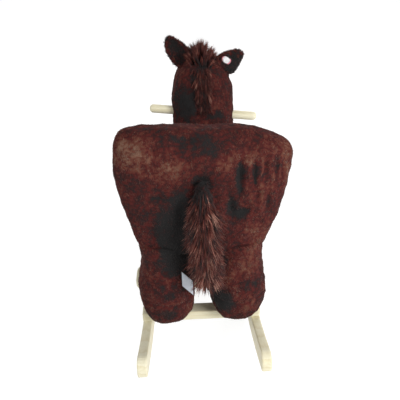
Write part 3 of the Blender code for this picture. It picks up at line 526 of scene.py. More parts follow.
def hull_of(node, name, material):
    """The outer shape of a CAD node, without its channels."""
    work = bmesh.new()
    work.from_mesh(cad_nodes[node].data)
    hull = bmesh.ops.convex_hull(work, input=work.verts)
    inside = [e for e in hull["geom_interior"] if isinstance(e, bmesh.types.BMVert)]
    bmesh.ops.delete(work, geom=inside, context="VERTS")
    return object_from(work, name, material)


def copy_of(node, name, material):
    mesh = cad_nodes[node].data.copy()
    mesh.materials.clear()
    return new_object(name, mesh, material)


def placed(made, body, slot, *replaced, fill=None):
    """Puts a piece on the body it rides on and hides the CAD nodes it replaces. slot and fill are not used.
    """
    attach(made, body)
    if replaced:
        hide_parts(*replaced)
    return made


# Pile


def lying_strands(roots, tangents, normals, lengths, lift, droop, rings):
    """Places along strands that rise from the surface at their lift and droop back to it."""
    steps = np.linspace(0, 1, rings + 1)[:, None, None]
    along = np.cos(lift)[:, None] * steps
    up = np.sin(lift)[:, None] * steps - droop * steps ** 2
    return roots + lengths[:, None] * (along * tangents + up * normals)


def lock_strands(bases, ways, bends, lengths, radius, per_lock, rng, stray, draw, rings=3):
    """Places along strands in locks that draw together towards their tips, two directions across each strand
    and the number of its lock. Each lock sets off along its way and bends off it over its length."""
    count = len(bases) * per_lock
    lock = np.repeat(np.arange(len(bases)), per_lock)
    axis = unit(ways)[lock]
    first = unit(np.cross(axis, (0.31, 0.17, 0.93)))
    second = np.cross(axis, first)
    angle = rng.uniform(0, 2 * math.pi, count)
    out = radius * np.sqrt(rng.uniform(size=count))
    offset = out[:, None] * (np.cos(angle)[:, None] * first + np.sin(angle)[:, None] * second)
    reach = (lengths[lock] * rng.uniform(0.72, 1.06, count))[:, None]
    astray = rng.normal(0, stray, (count, 3))
    steps = np.linspace(0, 1, rings + 1)[:, None, None]
    path = axis * steps + bends[lock] * steps ** 2 + astray * steps ** 1.5
    return bases[lock] + offset * (1 - draw * steps) + reach * path, first, second, lock


def strand_mesh(name, centres, sides, normals, widths, shades, material, seed, rise=0.30):
    """Closed tapered three-sided strands through the centres, which go from each root to its tip. shades is
    one shade for each strand, or one for each of its centres, and it rises from the root to the tip."""
    rings, count = len(centres) - 1, centres.shape[1]
    shades = np.broadcast_to(shades, (rings + 1, count))
    twist = np.random.default_rng(seed).uniform(0, 2 * math.pi, count)
    places = np.empty((count, rings * 3 + 1, 3))
    tones = np.empty((count, rings * 3 + 1))
    # Each strand's tone rises from root to tip: the darker roots are painted shade among the strands
    for i in range(rings):
        share = i / rings
        radius = widths * (1 - 0.55 * max(0.0, 2 * share - 1))
        for j in range(3):
            angle = (twist + j * 2 * math.pi / 3)[:, None]
            offset = np.cos(angle) * sides + 0.7 * np.sin(angle) * normals
            places[:, i * 3 + j] = centres[i] + radius[:, None] * offset
            tones[:, i * 3 + j] = shades[i] + rise * (share - 0.5)
    places[:, -1] = centres[-1]
    tones[:, -1] = shades[-1] + rise * 0.5

    # The faces of one strand: its root, its sides and its tip
    faces = [(0, 2, 1)]
    for i in range(rings - 1):
        for j in range(3):
            k = (j + 1) % 3
            a, b, c, d = i * 3 + j, i * 3 + k, (i + 1) * 3 + k, (i + 1) * 3 + j
            faces += [(a, b, c), (a, c, d)]
    top = (rings - 1) * 3
    faces += [(top + j, top + (j + 1) % 3, rings * 3) for j in range(3)]
    stride = rings * 3 + 1
    whole = (np.array(faces)[None] + stride * np.arange(count)[:, None, None]).reshape(-1, 3)
    mesh = bpy.data.meshes.new(name)
    mesh.vertices.add(count * stride)
    mesh.vertices.foreach_set("co", places.ravel())
    mesh.loops.add(len(whole) * 3)
    mesh.loops.foreach_set("vertex_index", whole.ravel().astype(np.int32))
    mesh.polygons.add(len(whole))
    mesh.polygons.foreach_set("loop_start", np.arange(0, len(whole) * 3, 3, dtype=np.int32))
    mesh.update(calc_edges=True)
    mesh.shade_smooth()
    write_values(mesh, "shade", np.clip(tones, 0, 1))
    return new_object(name, mesh, material)


def attached(pile, cover):
    pile.parent = cover


def scattered(made, per_area, seed):
    """Random places on the mesh, with the smooth normal at each."""
    mesh = made.data
    mesh.calc_loop_triangles()
    corners = np.empty(len(mesh.loop_triangles) * 3, np.int32)
    mesh.loop_triangles.foreach_get("vertices", corners)
    corners = corners.reshape(-1, 3)
    places, directions = points_of(made), normals_of(made)
    a, b, c = (places[corners[:, i]] for i in range(3))
    areas = np.linalg.norm(np.cross(b - a, c - a), axis=1) / 2
    rng = np.random.default_rng(seed)
    count = int(per_area * areas.sum())
    chosen = rng.choice(len(areas), count, p=areas / areas.sum())
    u, v = rng.uniform(size=(2, count))
    flip = u + v > 1
    u[flip], v[flip] = 1 - u[flip], 1 - v[flip]
    weights = np.stack([1 - u - v, u, v], axis=1)[:, :, None]
    roots = (places[corners[chosen]] * weights).sum(1)
    return roots, unit((directions[corners[chosen]] * weights).sum(1))


def lying(normals, flow):
    """The flow laid flat on the surface."""
    flat = flow - (flow * normals).sum(1)[:, None] * normals
    spare = unit(np.cross(normals, (1.0, 0.0, 0.0)))
    return np.where(np.linalg.norm(flat, axis=1)[:, None] > 0.05, unit(flat), spare)


def pile_tone(places):
    """Patches of brushed nap and small curls with darker lines between them, the same all over the horse."""
    large = waves(places, 0.080, 3)
    middle = waves(places * (1, 1, 0.6), 0.020, 4)
    curls = np.tanh(1.6 * np.abs(waves(places * (0.7, 1, 1.1), 0.0088, 5)))
    return 0.27 + 0.05 * large + 0.05 * middle + 0.33 * curls


def no_tone(places):
    return 0.0


def paint(made, tone):
    """Writes the shade of the nap on a cover's points, so that its backing agrees with its pile."""
    places = points_of(made)
    write_values(made.data, "shade", np.clip(pile_tone(places) + tone(places), 0, 1))


def add_pile(
    made, flow, seed, length=PILE_LENGTH, density=1.0, lift=(8, 19), keep=None, tone=no_tone,
    halves=False,
):
    """Short pile over a cover, lying along the flow. keep leaves strands out, tone shifts their shade."""
    paint(made, tone)
    roots, normals = scattered(made, PILE_PER_M2 * density, seed)
    if keep is not None:
        kept = keep(roots)
        roots, normals = roots[kept], normals[kept]
    rng = np.random.default_rng(seed + 1)
    count = len(roots)
    swirl = np.stack([waves(roots, 0.045, seed + k) for k in (11, 12, 13)], axis=1)
    to_clump, own = clumps(roots * (1, 1, 0.8), 0.0050, seed + 14)
    ways = np.asarray(flow(roots) if callable(flow) else np.tile(flow, (count, 1)), float)
    ways = ways + 0.45 * swirl + 0.8 * to_clump + rng.normal(0, 0.36, (count, 3))
    tangents = lying(normals, ways)
    shades = 0.19 * own + rng.normal(0, 0.07, count) + tone(roots)
    lengths = length * rng.uniform(0.7, 1.25, count)
    widths = PILE_WIDTH * rng.uniform(0.7, 1.3, count)
    lift = np.radians(rng.uniform(*lift, count) + 4 * own)
    centres = lying_strands(roots - PILE_SUNK * normals, tangents, normals, lengths, lift, 0.05, 1)
    shades = shades + np.stack([pile_tone(places) for places in centres])
    sides = np.cross(tangents, normals)
    name = made.name.replace("_cover", "") + "_pile"
    groups = {name: np.ones(count, bool)}
    if halves:
        groups = {name + "_rear": normals[:, 1] < 0, name + "_front": normals[:, 1] >= 0}
    for label, part in groups.items():
        strands = (centres[:, part], sides[part], normals[part], widths[part], shades[:, part])
        attached(strand_mesh(label, *strands, PILE, seed + 2), made)


# Backrest and rump

BACK_Y = -0.195
BACK_HALF_DEPTH = 0.043
# Its outline from behind, in millimetres: height, left edge, right edge
BACK_OUTLINE = [
    (250, -112, 124),
    (285, -122, 135),
    (315, -131, 146),
    (345, -138, 155),
    (375, -143, 162),
    (405, -145, 166),
    (430, -145, 169),
    (441, -144.5, 168),
    (451, -143, 164),
    (461, -139.5, 154),
    (469, -134, 142),
    (476, -126, 128),
    (481, -114, 112),
    (484.5, -95, 92),
]

# Dents and folds in the rear of the cover, in millimetres: x, z, half width, half height, depth
CREASES = [
    (73, 406, 7, 32, 8.5),
    (98, 408, 4.5, 22, 5.5),
    (117, 413, 4, 19, 3.5),
    (137, 416, 4.5, 18, 4.5),
    (147, 400, 4, 20, 3),
    (73, 336, 18, 8, 7),
    (57, 348, 7.5, 19, 7),
    (124, 350, 5, 26, 3.5),
    (103, 365, 5, 22, 3),
    (-24, 471, 11, 7, 4.5),
    (-70, 456, 7, 5, 3.5),
    (-74, 368, 12, 6, 3.5),
    (-85, 300, 6, 22, 3),
    (8, 396, 15, 15, 6),
    (-30, 352, 12, 26, 5),
]

# Brushed nap on the rear, its light and shade painted in: x, z, half width and half height in millimetres,
# and change of shade
# The dark patches are painted shade, such as the tail's shadow to its left, and the light ones are painted
# highlights.
NAP_WITH_PAINTED_LIGHT = [
    (73, 406, 6, 32, -0.20),
    (98, 408, 4, 20, -0.14),
    (61, 345, 8, 20, -0.26),
    (80, 333, 17, 9, -0.26),
    (-46, 305, 30, 56, -0.46),
    (-40, 235, 34, 44, -0.50),
    (-30, 360, 20, 30, -0.26),
    (-64, 368, 22, 8, -0.14),
    (8, 396, 15, 16, -0.30),
    (-24, 473, 12, 8, -0.22),
    (-50, 478, 22, 8, -0.12),
    (17, 458, 55, 16, -0.10),
    (-108, 452, 36, 28, 0.36),
    (-118, 418, 18, 12, 0.10),
    (-62, 422, 30, 22, 0.08),
    (-60, 385, 26, 14, 0.05),
    (-88, 320, 22, 50, -0.06),
    (20, 430, 60, 20, 0.07),
    (112, 448, 40, 16, 0.13),
    (89, 410, 4, 34, 0.12),
    (108, 405, 5, 36, 0.12),
    (127, 402, 5, 36, 0.12),
    (112, 350, 5, 30, 0.10),
    (95, 352, 6, 18, 0.10),
    (150, 410, 12, 44, 0.18),
    (108, 385, 8, 50, 0.10),
    (126, 375, 6, 50, 0.12),
    (60, 440, 30, 14, 0.09),
    (92, 290, 34, 36, 0.11),
    (110, 230, 18, 40, 0.12),
    (-81, 188, 11, 9, -0.20),
    (-62, 160, 14, 10, -0.22),
    (-58, 120, 20, 14, -0.26),
    (-20, 125, 8, 18, 0.20),
    (-105, 130, 14, 14, 0.12),
    (40, 136, 26, 26, -0.50),
    (86, 176, 14, 16, -0.22),
    (46, 246, 6, 18, -0.34),
    (74, 222, 28, 30, 0.12),
    (98, 126, 14, 16, 0.20),
]


def creased(places):
    """The depth of the dents and folds at each place."""
    sunk = np.zeros(len(places))
    for x, z, wide, high, depth in metres(CREASES):
        sunk += depth * bump(np.hypot((places[:, 0] - x) / wide, (places[:, 2] - z) / high))
    return sunk


def marked(places, marks):
    """The sum of the marks' changes of shade. Each has a ragged edge that follows the nap."""
    warp = [0.006 * waves(places * (1, 1, 0.6), 0.016, seed) for seed in (8, 9)]
    shade = np.zeros(len(places))
    for x, z, wide, high, change in metres(marks, 4):
        away = np.hypot((places[:, 0] + warp[0] - x) / wide, (places[:, 2] + warp[1] - z) / high)
        shade += change * bump(away * away)
    return shade


def nap_with_painted_light(places):
    """The painted shade and painted highlights of the nap at the rear."""
    return marked(places, NAP_WITH_PAINTED_LIGHT) * np.clip((-0.150 - places[:, 1]) / 0.03, 0, 1)


def back_tone(places):
    band = -0.07 * bump((places[:, 2] - 0.472) / 0.018) * np.clip((0.13 - np.abs(places[:, 0])) / 0.05, 0, 1)
    # Painted shade in the dents and folds of the rear, darker where they are deeper
    return nap_with_painted_light(places) + band - 42 * creased(places) * (places[:, 1] < -0.19)


def make_back():
    stations = []
    for z, left, right in metres(BACK_OUTLINE):
        # The cover rounds off at the top
        top = max(0.0, (z - 0.440) / 0.0445)
        depth = BACK_HALF_DEPTH * (1 - 0.60 * top * top)
        stations.append((z, left, right, BACK_Y - 0.004 * top, depth))
    made = loft("back_cover_plush", level_rings(stations, 3.0, 56), BACKING)
    # Its top falls off to the right
    places = points_of(made)
    high = np.clip((places[:, 2] - 0.42) / 0.05, 0, 1)
    places[:, 2] -= 0.045 * high * (places[:, 0] - 0.01)
    # The front is flatter than the rear below the rounded top, and meets the wings
    front = np.clip((places[:, 1] - BACK_Y) / BACK_HALF_DEPTH, 0, 1)
    flatter = np.clip((0.445 - places[:, 2]) / 0.03, 0, 1)
    places[:, 1] += BACK_HALF_DEPTH * flatter * (np.sqrt(front) - front)
    set_points(made, places)
    remeshed(made, VOXEL)

    def held(p):
        # The side panel between the two faces, and the part tucked in below, keep their places
        side_panel = np.clip(1.5 - np.abs(p[:, 1] - BACK_Y) / 0.028, 0, 1)
        return np.where(p[:, 2] < 0.262, 1.0, side_panel)

    places, normals = plumped(made, held)
    sunk = np.clip(-normals[:, 1], 0, 1) * creased(places)
    soft = unevenness(places, 21, (0.0012, 0.06), (0.0007, 0.02))
    set_points(made, places - normals * sunk[:, None] + normals * soft[:, None])
    placed(made, "horse", "plush", "back_cover", fill=0.8)
    add_pile(made, (0.0, -0.35, -1.0), 100, tone=back_tone, halves=True)


# Legs

# In millimetres: height, outer edge from the leg's centre, inner edge, y centre, half depth
LEG_STATIONS = [
    (85, 23, 25, -4, 28),
    (88, 33, 36, -3, 38),
    (94, 42, 45.5, -2, 47),
    (105, 49, 52, -1, 54),
    (120, 53.5, 55, 0, 57),
    (140, 55.5, 56, 0, 58),
    (160, 54.5, 55.5, 0, 57),
    (178, 51.5, 54, 1, 55),
    (195, 49, 53, 2, 53),
    (215, 47, 53, 3, 52),
    (240, 46.5, 53, 3, 52),
    (266, 48, 53, 3, 52),
]
SEAM_HEIGHT = 0.138
LEG_TOP = 0.256
# How far each foot hangs down past the edges of its bar
FOOT_HANG = {
    "leg_rear_left": 0.0075,
    "leg_rear_right": 0.0045,
    "leg_front_left": 0.005,
    "leg_front_right": 0.005,
}
BAR_EDGE = 0.015
BAR_TOP = 0.088


def make_leg(node, seed):
    low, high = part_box(node)
    x, y = (low.x + high.x) / 2, (low.y + high.y) / 2
    outer_side = -1 if x < 0.004 else 1
    rear = -1 if y < 0 else 1
    stations = []
    for z, outer, inner, shift, half_depth in metres(LEG_STATIONS):
        edges = sorted((x + outer_side * outer, x - outer_side * inner))
        stations.append((z, edges[0], edges[1], y - rear * shift, half_depth))
    made = loft(node.replace("leg", "plush_leg"), level_rings(stations, 2.3, 40), BACKING)
    remeshed(made, VOXEL)

    def held(p):
        return np.where(p[:, 2] > LEG_TOP, 1.0, 0.85 * bump((p[:, 2] - SEAM_HEIGHT) / 0.003))

    def above_seam(p):
        return p[:, 2] - (SEAM_HEIGHT + 2.2 * (p[:, 0] - x) ** 2 + 0.002 * waves(p, 0.05, seed))

    places, normals = plumped(made, held)
    soft = unevenness(places, seed + 1, (0.0010, 0.05), (0.0007, 0.018))
    groove = -0.0018 * bump(above_seam(places) / 0.0035)
    beside_bar = eased((np.abs(places[:, 1] - y) - BAR_EDGE) / 0.018)
    hang = FOOT_HANG[node] * beside_bar * eased((0.145 - places[:, 2]) / 0.060)
    places = places + normals * (soft + groove)[:, None]
    places[:, 2] -= hang
    set_points(made, places)
    placed(made, "horse", "plush", node, fill=0.8)

    def tone(p):
        above = above_seam(p)
        sole = -0.03 * (above < 0)
        # Painted shade in the seam's groove and a painted highlight on the fold just above it
        return nap_with_painted_light(p) + sole - 0.07 * bump(above / 0.003) + 0.04 * bump((above - 0.008) / 0.005)

    def off_bar(p):
        return (p[:, 2] > BAR_TOP) | (np.abs(p[:, 1] - y) > BAR_EDGE + 0.006)

    add_pile(made, DOWN, 200 + seed, tone=tone, keep=off_bar)
    return made


# Head and muzzle

# In millimetres: height, left edge, right edge, y centre, half depth
HEAD_STATIONS = [
    (335, -42, 91, 128, 52),
    (360, -45, 94.5, 129, 56),
    (390, -45.5, 95.5, 132, 60),
    (420, -46, 96, 137, 64),
    (445, -44.5, 94, 142, 66),
    (468, -39.5, 88.5, 143, 64),
    (486, -33, 79, 142, 58),
    (500, -21, 68, 140, 48),
    (509, -10, 55, 138, 36),
    (514, 4, 40, 137, 20),
]

# Brushed nap on the rear of the head, its light and shade painted in, in the same units as the rear's table
# The large dark patch on the left of the neck is painted shade, on the side away from the key light.
HEAD_NAP_WITH_PAINTED_LIGHT = [
    (-14, 425, 27, 40, -0.44),
    (-18, 468, 14, 10, -0.16),
    (20, 496, 22, 22, -0.30),
    (50, 402, 24, 12, -0.28),
    (10, 455, 12, 20, -0.10),
    (-34, 480, 8, 12, 0.14),
    (86, 420, 8, 30, 0.08),
    (60, 450, 30, 60, -0.05),
]


def make_head():
    made = loft("head_plush", level_rings(metres(HEAD_STATIONS), 2.5, 44), BACKING)
    remeshed(made, VOXEL)
    places, normals = plumped(made, lambda p: np.where(p[:, 2] < 0.345, 1.0, 0.0))
    soft = unevenness(places, 31, (0.0010, 0.05), (0.0006, 0.02))
    set_points(made, places + normals * soft[:, None])
    placed(made, "horse", "plush", "head", fill=0.85)

    def tone(p):
        return marked(p, HEAD_NAP_WITH_PAINTED_LIGHT) * np.clip((0.14 - p[:, 1]) / 0.03, 0, 1)

    def keep(p):
        clear = np.ones(len(p), bool)
        for side in ("left", "right"):
            low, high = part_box("eye_" + side)
            away = np.linalg.norm(p - np.array((low + high) / 2), axis=1)
            clear &= away > (high.x - low.x) / 2 + 0.0025
        return clear

    add_pile(made, (0.0, -0.2, -1.0), 300, tone=tone, keep=keep)


def thread_on(name, cover, waypoints, radius):
    """A thick thread laid on a cover through places near its surface. Gives its path."""
    mesh = cover.data
    tree = BVHTree.FromPolygons([v.co for v in mesh.vertices], [list(p.vertices) for p in mesh.polygons])
    path = []
    for place in waypoints:
        near, normal, _, _ = tree.find_nearest(Vector(place))
        path.append(np.array(near + normal * radius * 0.5))
    rings = []
    last = len(path) - 1
    for i, place in enumerate(path):
        ahead = unit(path[min(i + 1, last)] - path[max(i - 1, 0)])
        first = unit(np.cross(ahead, (0.2, 0.1, 1.0)))
        size = radius * (0.35 if i in (0, last) else 1.0)
        rings.append(ring_at(place, first, np.cross(ahead, first), size, size, 10))
    placed(subdivided(outward(loft(name, rings, STITCH))), "horse", "plush")
    return np.array(path)


def make_muzzle():
    made = hull_of("muzzle", "muzzle_plush", BACKING)
    remeshed(made, VOXEL)
    plumped(made, lambda p: np.where(p[:, 1] < 0.205, 1.0, 0.0), travel=0.004)
    placed(made, "horse", "plush", "muzzle", fill=0.85)
    low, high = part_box("muzzle")
    middle = (low.x + high.x) / 2
    lines = []
    for side, label in ((-1, "left"), (1, "right")):
        nostril = [
            (middle + side * (0.0185 + 0.004 * (1 - t * t)), high.y, 0.432 + 0.0055 * t)
            for t in np.linspace(-1, 1, 9)
        ]
        lines.append(thread_on("nostril_" + label, made, nostril, 0.0018))
    mouth = [
        (middle + 0.034 * t, high.y - 0.004 - 0.036 * t * t, 0.402 + 0.003 * t * t)
        for t in np.linspace(-1, 1, 25)
    ]
    lines.append(thread_on("mouth_thread", made, mouth, 0.0012))
    line = np.concatenate(lines)

    def away(p):
        return np.min(np.linalg.norm(p[:, None] - line[None], axis=2), axis=1)

    # Painted shade round the stitched nostrils and mouth
    add_pile(
        made, (0.0, 1.0, -0.4), 320, length=0.0055, keep=lambda p: away(p) > 0.0034,
        tone=lambda p: -0.16 * bump(away(p) / 0.006),
    )


# Body


def make_block(node, name, seed, flow, form=hull_of, fill=0.8, outset=0.001, rounds=4, shape=None):
    """A stuffed cover over one of the body's plainer forms. shape moves the form's points beforehand."""
    made = remeshed(form(node, name, BACKING), VOXEL, rounds)
    places = points_of(made) + outset * normals_of(made)
    set_points(made, shape(places) if shape else places)
    places, normals = plumped(made)
    soft = unevenness(places, seed, (0.0010, 0.06), (0.0005, 0.02))
    set_points(made, places + normals * soft[:, None])
    placed(made, "horse", "plush", node, fill=fill)
    add_pile(made, flow, 400 + seed)


def sloped(places):
    """The top of the chest slopes down toward the front."""
    low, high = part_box("chest")
    share = np.clip((places[:, 2] - low.z) / (high.z - low.z), 0, 1)
    drop = 0.30 * np.clip(places[:, 1] - 0.140, 0, 1)
    return places - (share * drop)[:, None] * (0, 0, 1)


def reaching(places):
    """A wing's rear end curves back round the front edge of the backrest."""
    rear = np.clip((-0.125 - places[:, 1]) / 0.025, 0, 1) ** 2
    outer = np.clip((np.abs(places[:, 0]) - 0.094) / 0.034, 0, 1)
    return places - (rear * (0.0015 + 0.0055 * outer))[:, None] * (0, 1, 0)


# Ears

# In millimetres: distance along each ear, and its lower and upper edge from the ear's middle line
LEFT_EAR = [
    (-8, -17, 20),
    (8, -22.5, 24),
    (20, -25, 24),
    (34, -25.5, 20.5),
    (48, -23.8, 15.5),
    (58, -19.5, 10.5),
    (65, -13, 6),
    (69, -6, 1),
]
RIGHT_EAR = [
    (-8, -8, 11),
    (2, -14, 13.5),
    (8, -21.5, 15.5),
    (14, -29, 17.2),
    (20, -32.5, 18.2),
    (29, -31.5, 19),
    (37, -26, 19),
    (45, -18.5, 18.2),
    (52, -10.5, 16.5),
    (57.5, -3.5, 12),
    (60.5, 3, 7),
]
# The way each ear points, as x and z
LEFT_EAR_WAY = (-0.487, 0.873)
RIGHT_EAR_WAY = (0.968, 0.251)
# The way the patch is pressed in, and the way to its two ends, which the pile leaves bare
PRESS_AXIS = (0.069756, 0.997564, 0.0)
PATCH_WAY = np.array((0.80, 0.0, -0.60))
POCKET_RADIUS = 0.0103


def ear_form(name, base, toward, outline, y_base, y_tip, thickness, cup, rows=30, columns=18):
    """A cupped leaf. outline has the distance from the base along the ear, and its lower and upper edge from
    the middle line there. The cup opens toward the rear."""
    base = Vector((base[0], 0, base[1]))
    axis = Vector((toward[0], 0, toward[1])).normalized()
    side = Vector((-axis.z, 0, axis.x))
    if side.x + side.z < 0:
        side = -side
    table = metres(outline)
    shell = [[], []]
    for i in range(rows + 1):
        share = i / rows
        reach = table[0, 0] + (table[-1, 0] - table[0, 0]) * math.sin(math.pi / 2 * i / rows)
        lower, upper = (np.interp(reach, table[:, 0], table[:, k]) for k in (1, 2))
        for j in range(columns + 1):
            v = -1 + 2 * j / columns
            thick = thickness / 2 * math.sqrt(max(0.12, 1 - v * v)) * (1 - 0.35 * share)
            hollow = cup * (1 - v * v) * math.sin(math.pi * min(1, share + 0.15))
            middle = base + axis * reach + side * ((lower + upper) / 2 + (upper - lower) / 2 * v)
            middle.y = y_base + (y_tip - y_base) * share + hollow
            shell[0].append(middle - Vector((0, thick, 0)))
            shell[1].append(middle + Vector((0, thick, 0)))
    shift = len(shell[0])
    stride = columns + 1
    faces = []
    for i in range(rows):
        for j in range(columns):
            a, b, c, d = i * stride + j, i * stride + j + 1, (i + 1) * stride + j + 1, (i + 1) * stride + j
            faces.append((a, b, c, d))
            faces.append((shift + d, shift + c, shift + b, shift + a))
    rim = list(range(stride))
    rim += [i * stride + columns for i in range(1, rows + 1)]
    rim += [rows * stride + j for j in range(columns - 1, -1, -1)]
    rim += [i * stride for i in range(rows - 1, 0, -1)]
    for k, a in enumerate(rim):
        b = rim[(k + 1) % len(rim)]
        faces.append((b, a, shift + a, shift + b))
    made = outward(mesh_object(name, shell[0] + shell[1], faces, BACKING))
    return subdivided(remeshed(made, FINE_VOXEL))


def make_left_ear():
    made = ear_form("ear_left_plush", (-0.011, 0.505), LEFT_EAR_WAY, LEFT_EAR, 0.141, 0.141, 0.011, 0.009)
    placed(made, "horse", "plush", "ear_left", fill=0.4)
    way_x, way_z = LEFT_EAR_WAY

    def tone(p):
        # Shaded inside the cup, redder along the rim
        x, z = p[:, 0] + 0.029, p[:, 2] - 0.529
        across, along = x * way_z - z * way_x, z * way_z + x * way_x
        ragged = 1 + 0.35 * waves(p, 0.010, 91)
        inside = bump((np.hypot(across / 0.016, along / 0.028) * ragged) ** 2)
        return -0.03 - 0.40 * inside * (p[:, 1] < 0.150)

    add_pile(made, (-0.45, 0.0, 0.9), 340, length=0.0064, density=1.2, lift=(8, 40), tone=tone)


def cut_pocket(made, centre, axis, radius, depth):
    """Sinks a round pocket into a cover, from just outside it."""
    work = bmesh.new()
    turn = Vector((0, 0, 1)).rotation_difference(axis).to_matrix().to_4x4()
    bmesh.ops.create_cone(
        work, cap_ends=True, segments=40, radius1=radius, radius2=radius, depth=depth,
        matrix=Matrix.Translation(centre) @ turn,
    )
    cutter = object_from(work, "pocket")
    modified(made, "BOOLEAN", operation="DIFFERENCE", solver="EXACT", object=cutter)
    bpy.data.objects.remove(cutter)


def make_right_ear():
    made = ear_form("ear_right_plush", (0.060, 0.505), RIGHT_EAR_WAY, RIGHT_EAR, 0.1338, 0.1305, 0.0210, 0.0)
    low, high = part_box("ear_patch_rim")
    centre = (low + high) / 2
    way = Vector(PRESS_AXIS)
    cut_pocket(made, centre + 0.002 * way, way, POCKET_RADIUS, 0.020)
    placed(made, "horse", "plush", "ear_right", fill=0.4)

    def keep(p):
        away = np.hypot(p[:, 0] - centre.x, p[:, 2] - centre.z)
        return (away > POCKET_RADIUS + 0.0003) | (p[:, 1] > centre.y + 0.006)

    def flow(p):
        # The pile lies over the upper and lower edge of the patch, and away from it at its ends
        out = p - np.array(centre)
        out[:, 1] = 0
        near = bump(np.linalg.norm(out, axis=1) / 0.016)[:, None]
        ends = np.abs(unit(out) @ PATCH_WAY)[:, None]
        return near * unit(out) * np.sign(ends - 0.72) * 1.4 + (1 - near) * np.array((0.9, 0.0, 0.2))

    def tone(p):
        # Painted shade in the ear's cup round the patch, redder toward the ear's edge
        ragged = 1 + 0.25 * waves(p, 0.010, 92)
        away = ragged * np.hypot((p[:, 0] - 0.093) / 0.029, (p[:, 2] - 0.502) / 0.026)
        edge = np.clip((away - 0.70) / 0.3, 0, 1)
        return (-0.40 + 0.36 * edge) * (p[:, 1] < centre.y + 0.006)

    add_pile(made, flow, 350, length=0.0060, density=1.2, lift=(8, 34), keep=keep, tone=tone)
    add_fringe(made, (centre.x, low.y + 0.0012, centre.z))


def add_fringe(ear, centre, count=1500):
    """A fringe that leans over the patch's edge, further in from above and below than at its ends."""
    rng = np.random.default_rng(355)
    turn = rng.uniform(0, 2 * math.pi, count)
    spokes = np.stack([np.cos(turn), np.zeros(count), np.sin(turn)], axis=1)
    ends = np.abs(spokes @ PATCH_WAY)
    roots = np.array(centre) + (POCKET_RADIUS + rng.uniform(0.0005, 0.0025, count))[:, None] * spokes
    rearward = np.tile((0.0, -1.0, 0.0), (count, 1))
    lengths = (0.0010 + 0.0046 * (1 - ends ** 2)) * rng.uniform(0.85, 1.1, count)
    lift = np.radians(rng.uniform(30, 44, count))
    centres = lying_strands(roots, -spokes, rearward, lengths, lift, 0.42, 2)
    shades = 0.12 + rng.normal(0, 0.10, count) + 0.2 * (spokes @ -PATCH_WAY > 0.5)
    widths = PILE_WIDTH * rng.uniform(0.7, 1.2, count)
    across = np.cross(spokes, rearward)
    attached(strand_mesh("patch_fringe", centres, across, rearward, widths, shades, PILE, 356), ear)


# Mane

# The middle of the strip in millimetres, from the neck up over the crown: x, y, z
MANE_LINE = [
    (30, 76.5, 405),
    (28, 73, 430),
    (26, 76, 460),
    (25, 85, 485),
    (24, 102, 505),
    (24, 125, 514),
    (24, 150, 515),
    (25, 170, 507),
]
ACROSS = np.array([1.0, 0.0, 0.0])
NECK_LOCKS = 330
CROWN_LOCKS = 130
CROWN_X = 0.024
CROWN_Y = 0.128


def neck_locks(path, ahead, out, rng):
    """Thin locks down the neck, which part to both sides, and each lock's shade."""
    count = NECK_LOCKS
    at = rng.uniform(0.02, 0.64, count)
    step = (at * (len(path) - 1)).astype(int)
    parting = rng.uniform(-1.0, 1.0, count)
    wide = 0.004 + 0.010 * at
    bases = path[step] + (parting * wide)[:, None] * ACROSS - 0.001 * out[step]
    ways = -ahead[step] + (0.38 * parting + rng.normal(0, 0.10, count))[:, None] * ACROSS
    ways = ways + (0.16 + 0.10 * rng.uniform(size=count))[:, None] * out[step]
    bends = -0.14 * out[step] + np.array([0.0, 0.0, -0.12])
    lengths = (0.024 + 0.014 * rng.uniform(size=count)) * (0.75 + 0.5 * at)
    strands = lock_strands(bases, ways, bends, lengths, 0.0014, 12, rng, stray=0.05, draw=0.8)
    shade = 0.16 + 0.40 * np.abs(parting) ** 1.5 * rng.uniform(0.1, 1.0, count) + rng.normal(0, 0.06, count)
    shade += 0.34 * (rng.uniform(size=count) < 0.07)
    return strands, shade


def crown_locks(line, rng):
    """Pointed locks on the crown, which fan up and outward, and each lock's shade."""
    count = CROWN_LOCKS
    crown = line[3:]
    x = rng.uniform(-0.021, 0.021, count)
    y = rng.uniform(0.098, 0.165, count)
    z = np.interp(y, crown[:, 1], crown[:, 2]) - 13 * x * x - 0.002
    aside, forth = rng.normal(0, (0.16, 0.14), (count, 2)).T
    ways = np.stack([24 * x + aside, 9 * (y - CROWN_Y) + forth, np.ones(count)], axis=1)
    bends = np.stack([4 * x, rng.normal(0, 0.05, count), -0.10 * np.ones(count)], axis=1)
    lengths = 0.049 * rng.uniform(0.72, 1.10, count) * (1 - 20 * np.abs(x))
    bases = np.stack([CROWN_X + x, y, z], axis=1)
    strands = lock_strands(bases, ways, bends, lengths, 0.0026, 34, rng, stray=0.045, draw=0.85)
    return strands, 0.25 + rng.normal(0, 0.12, count)


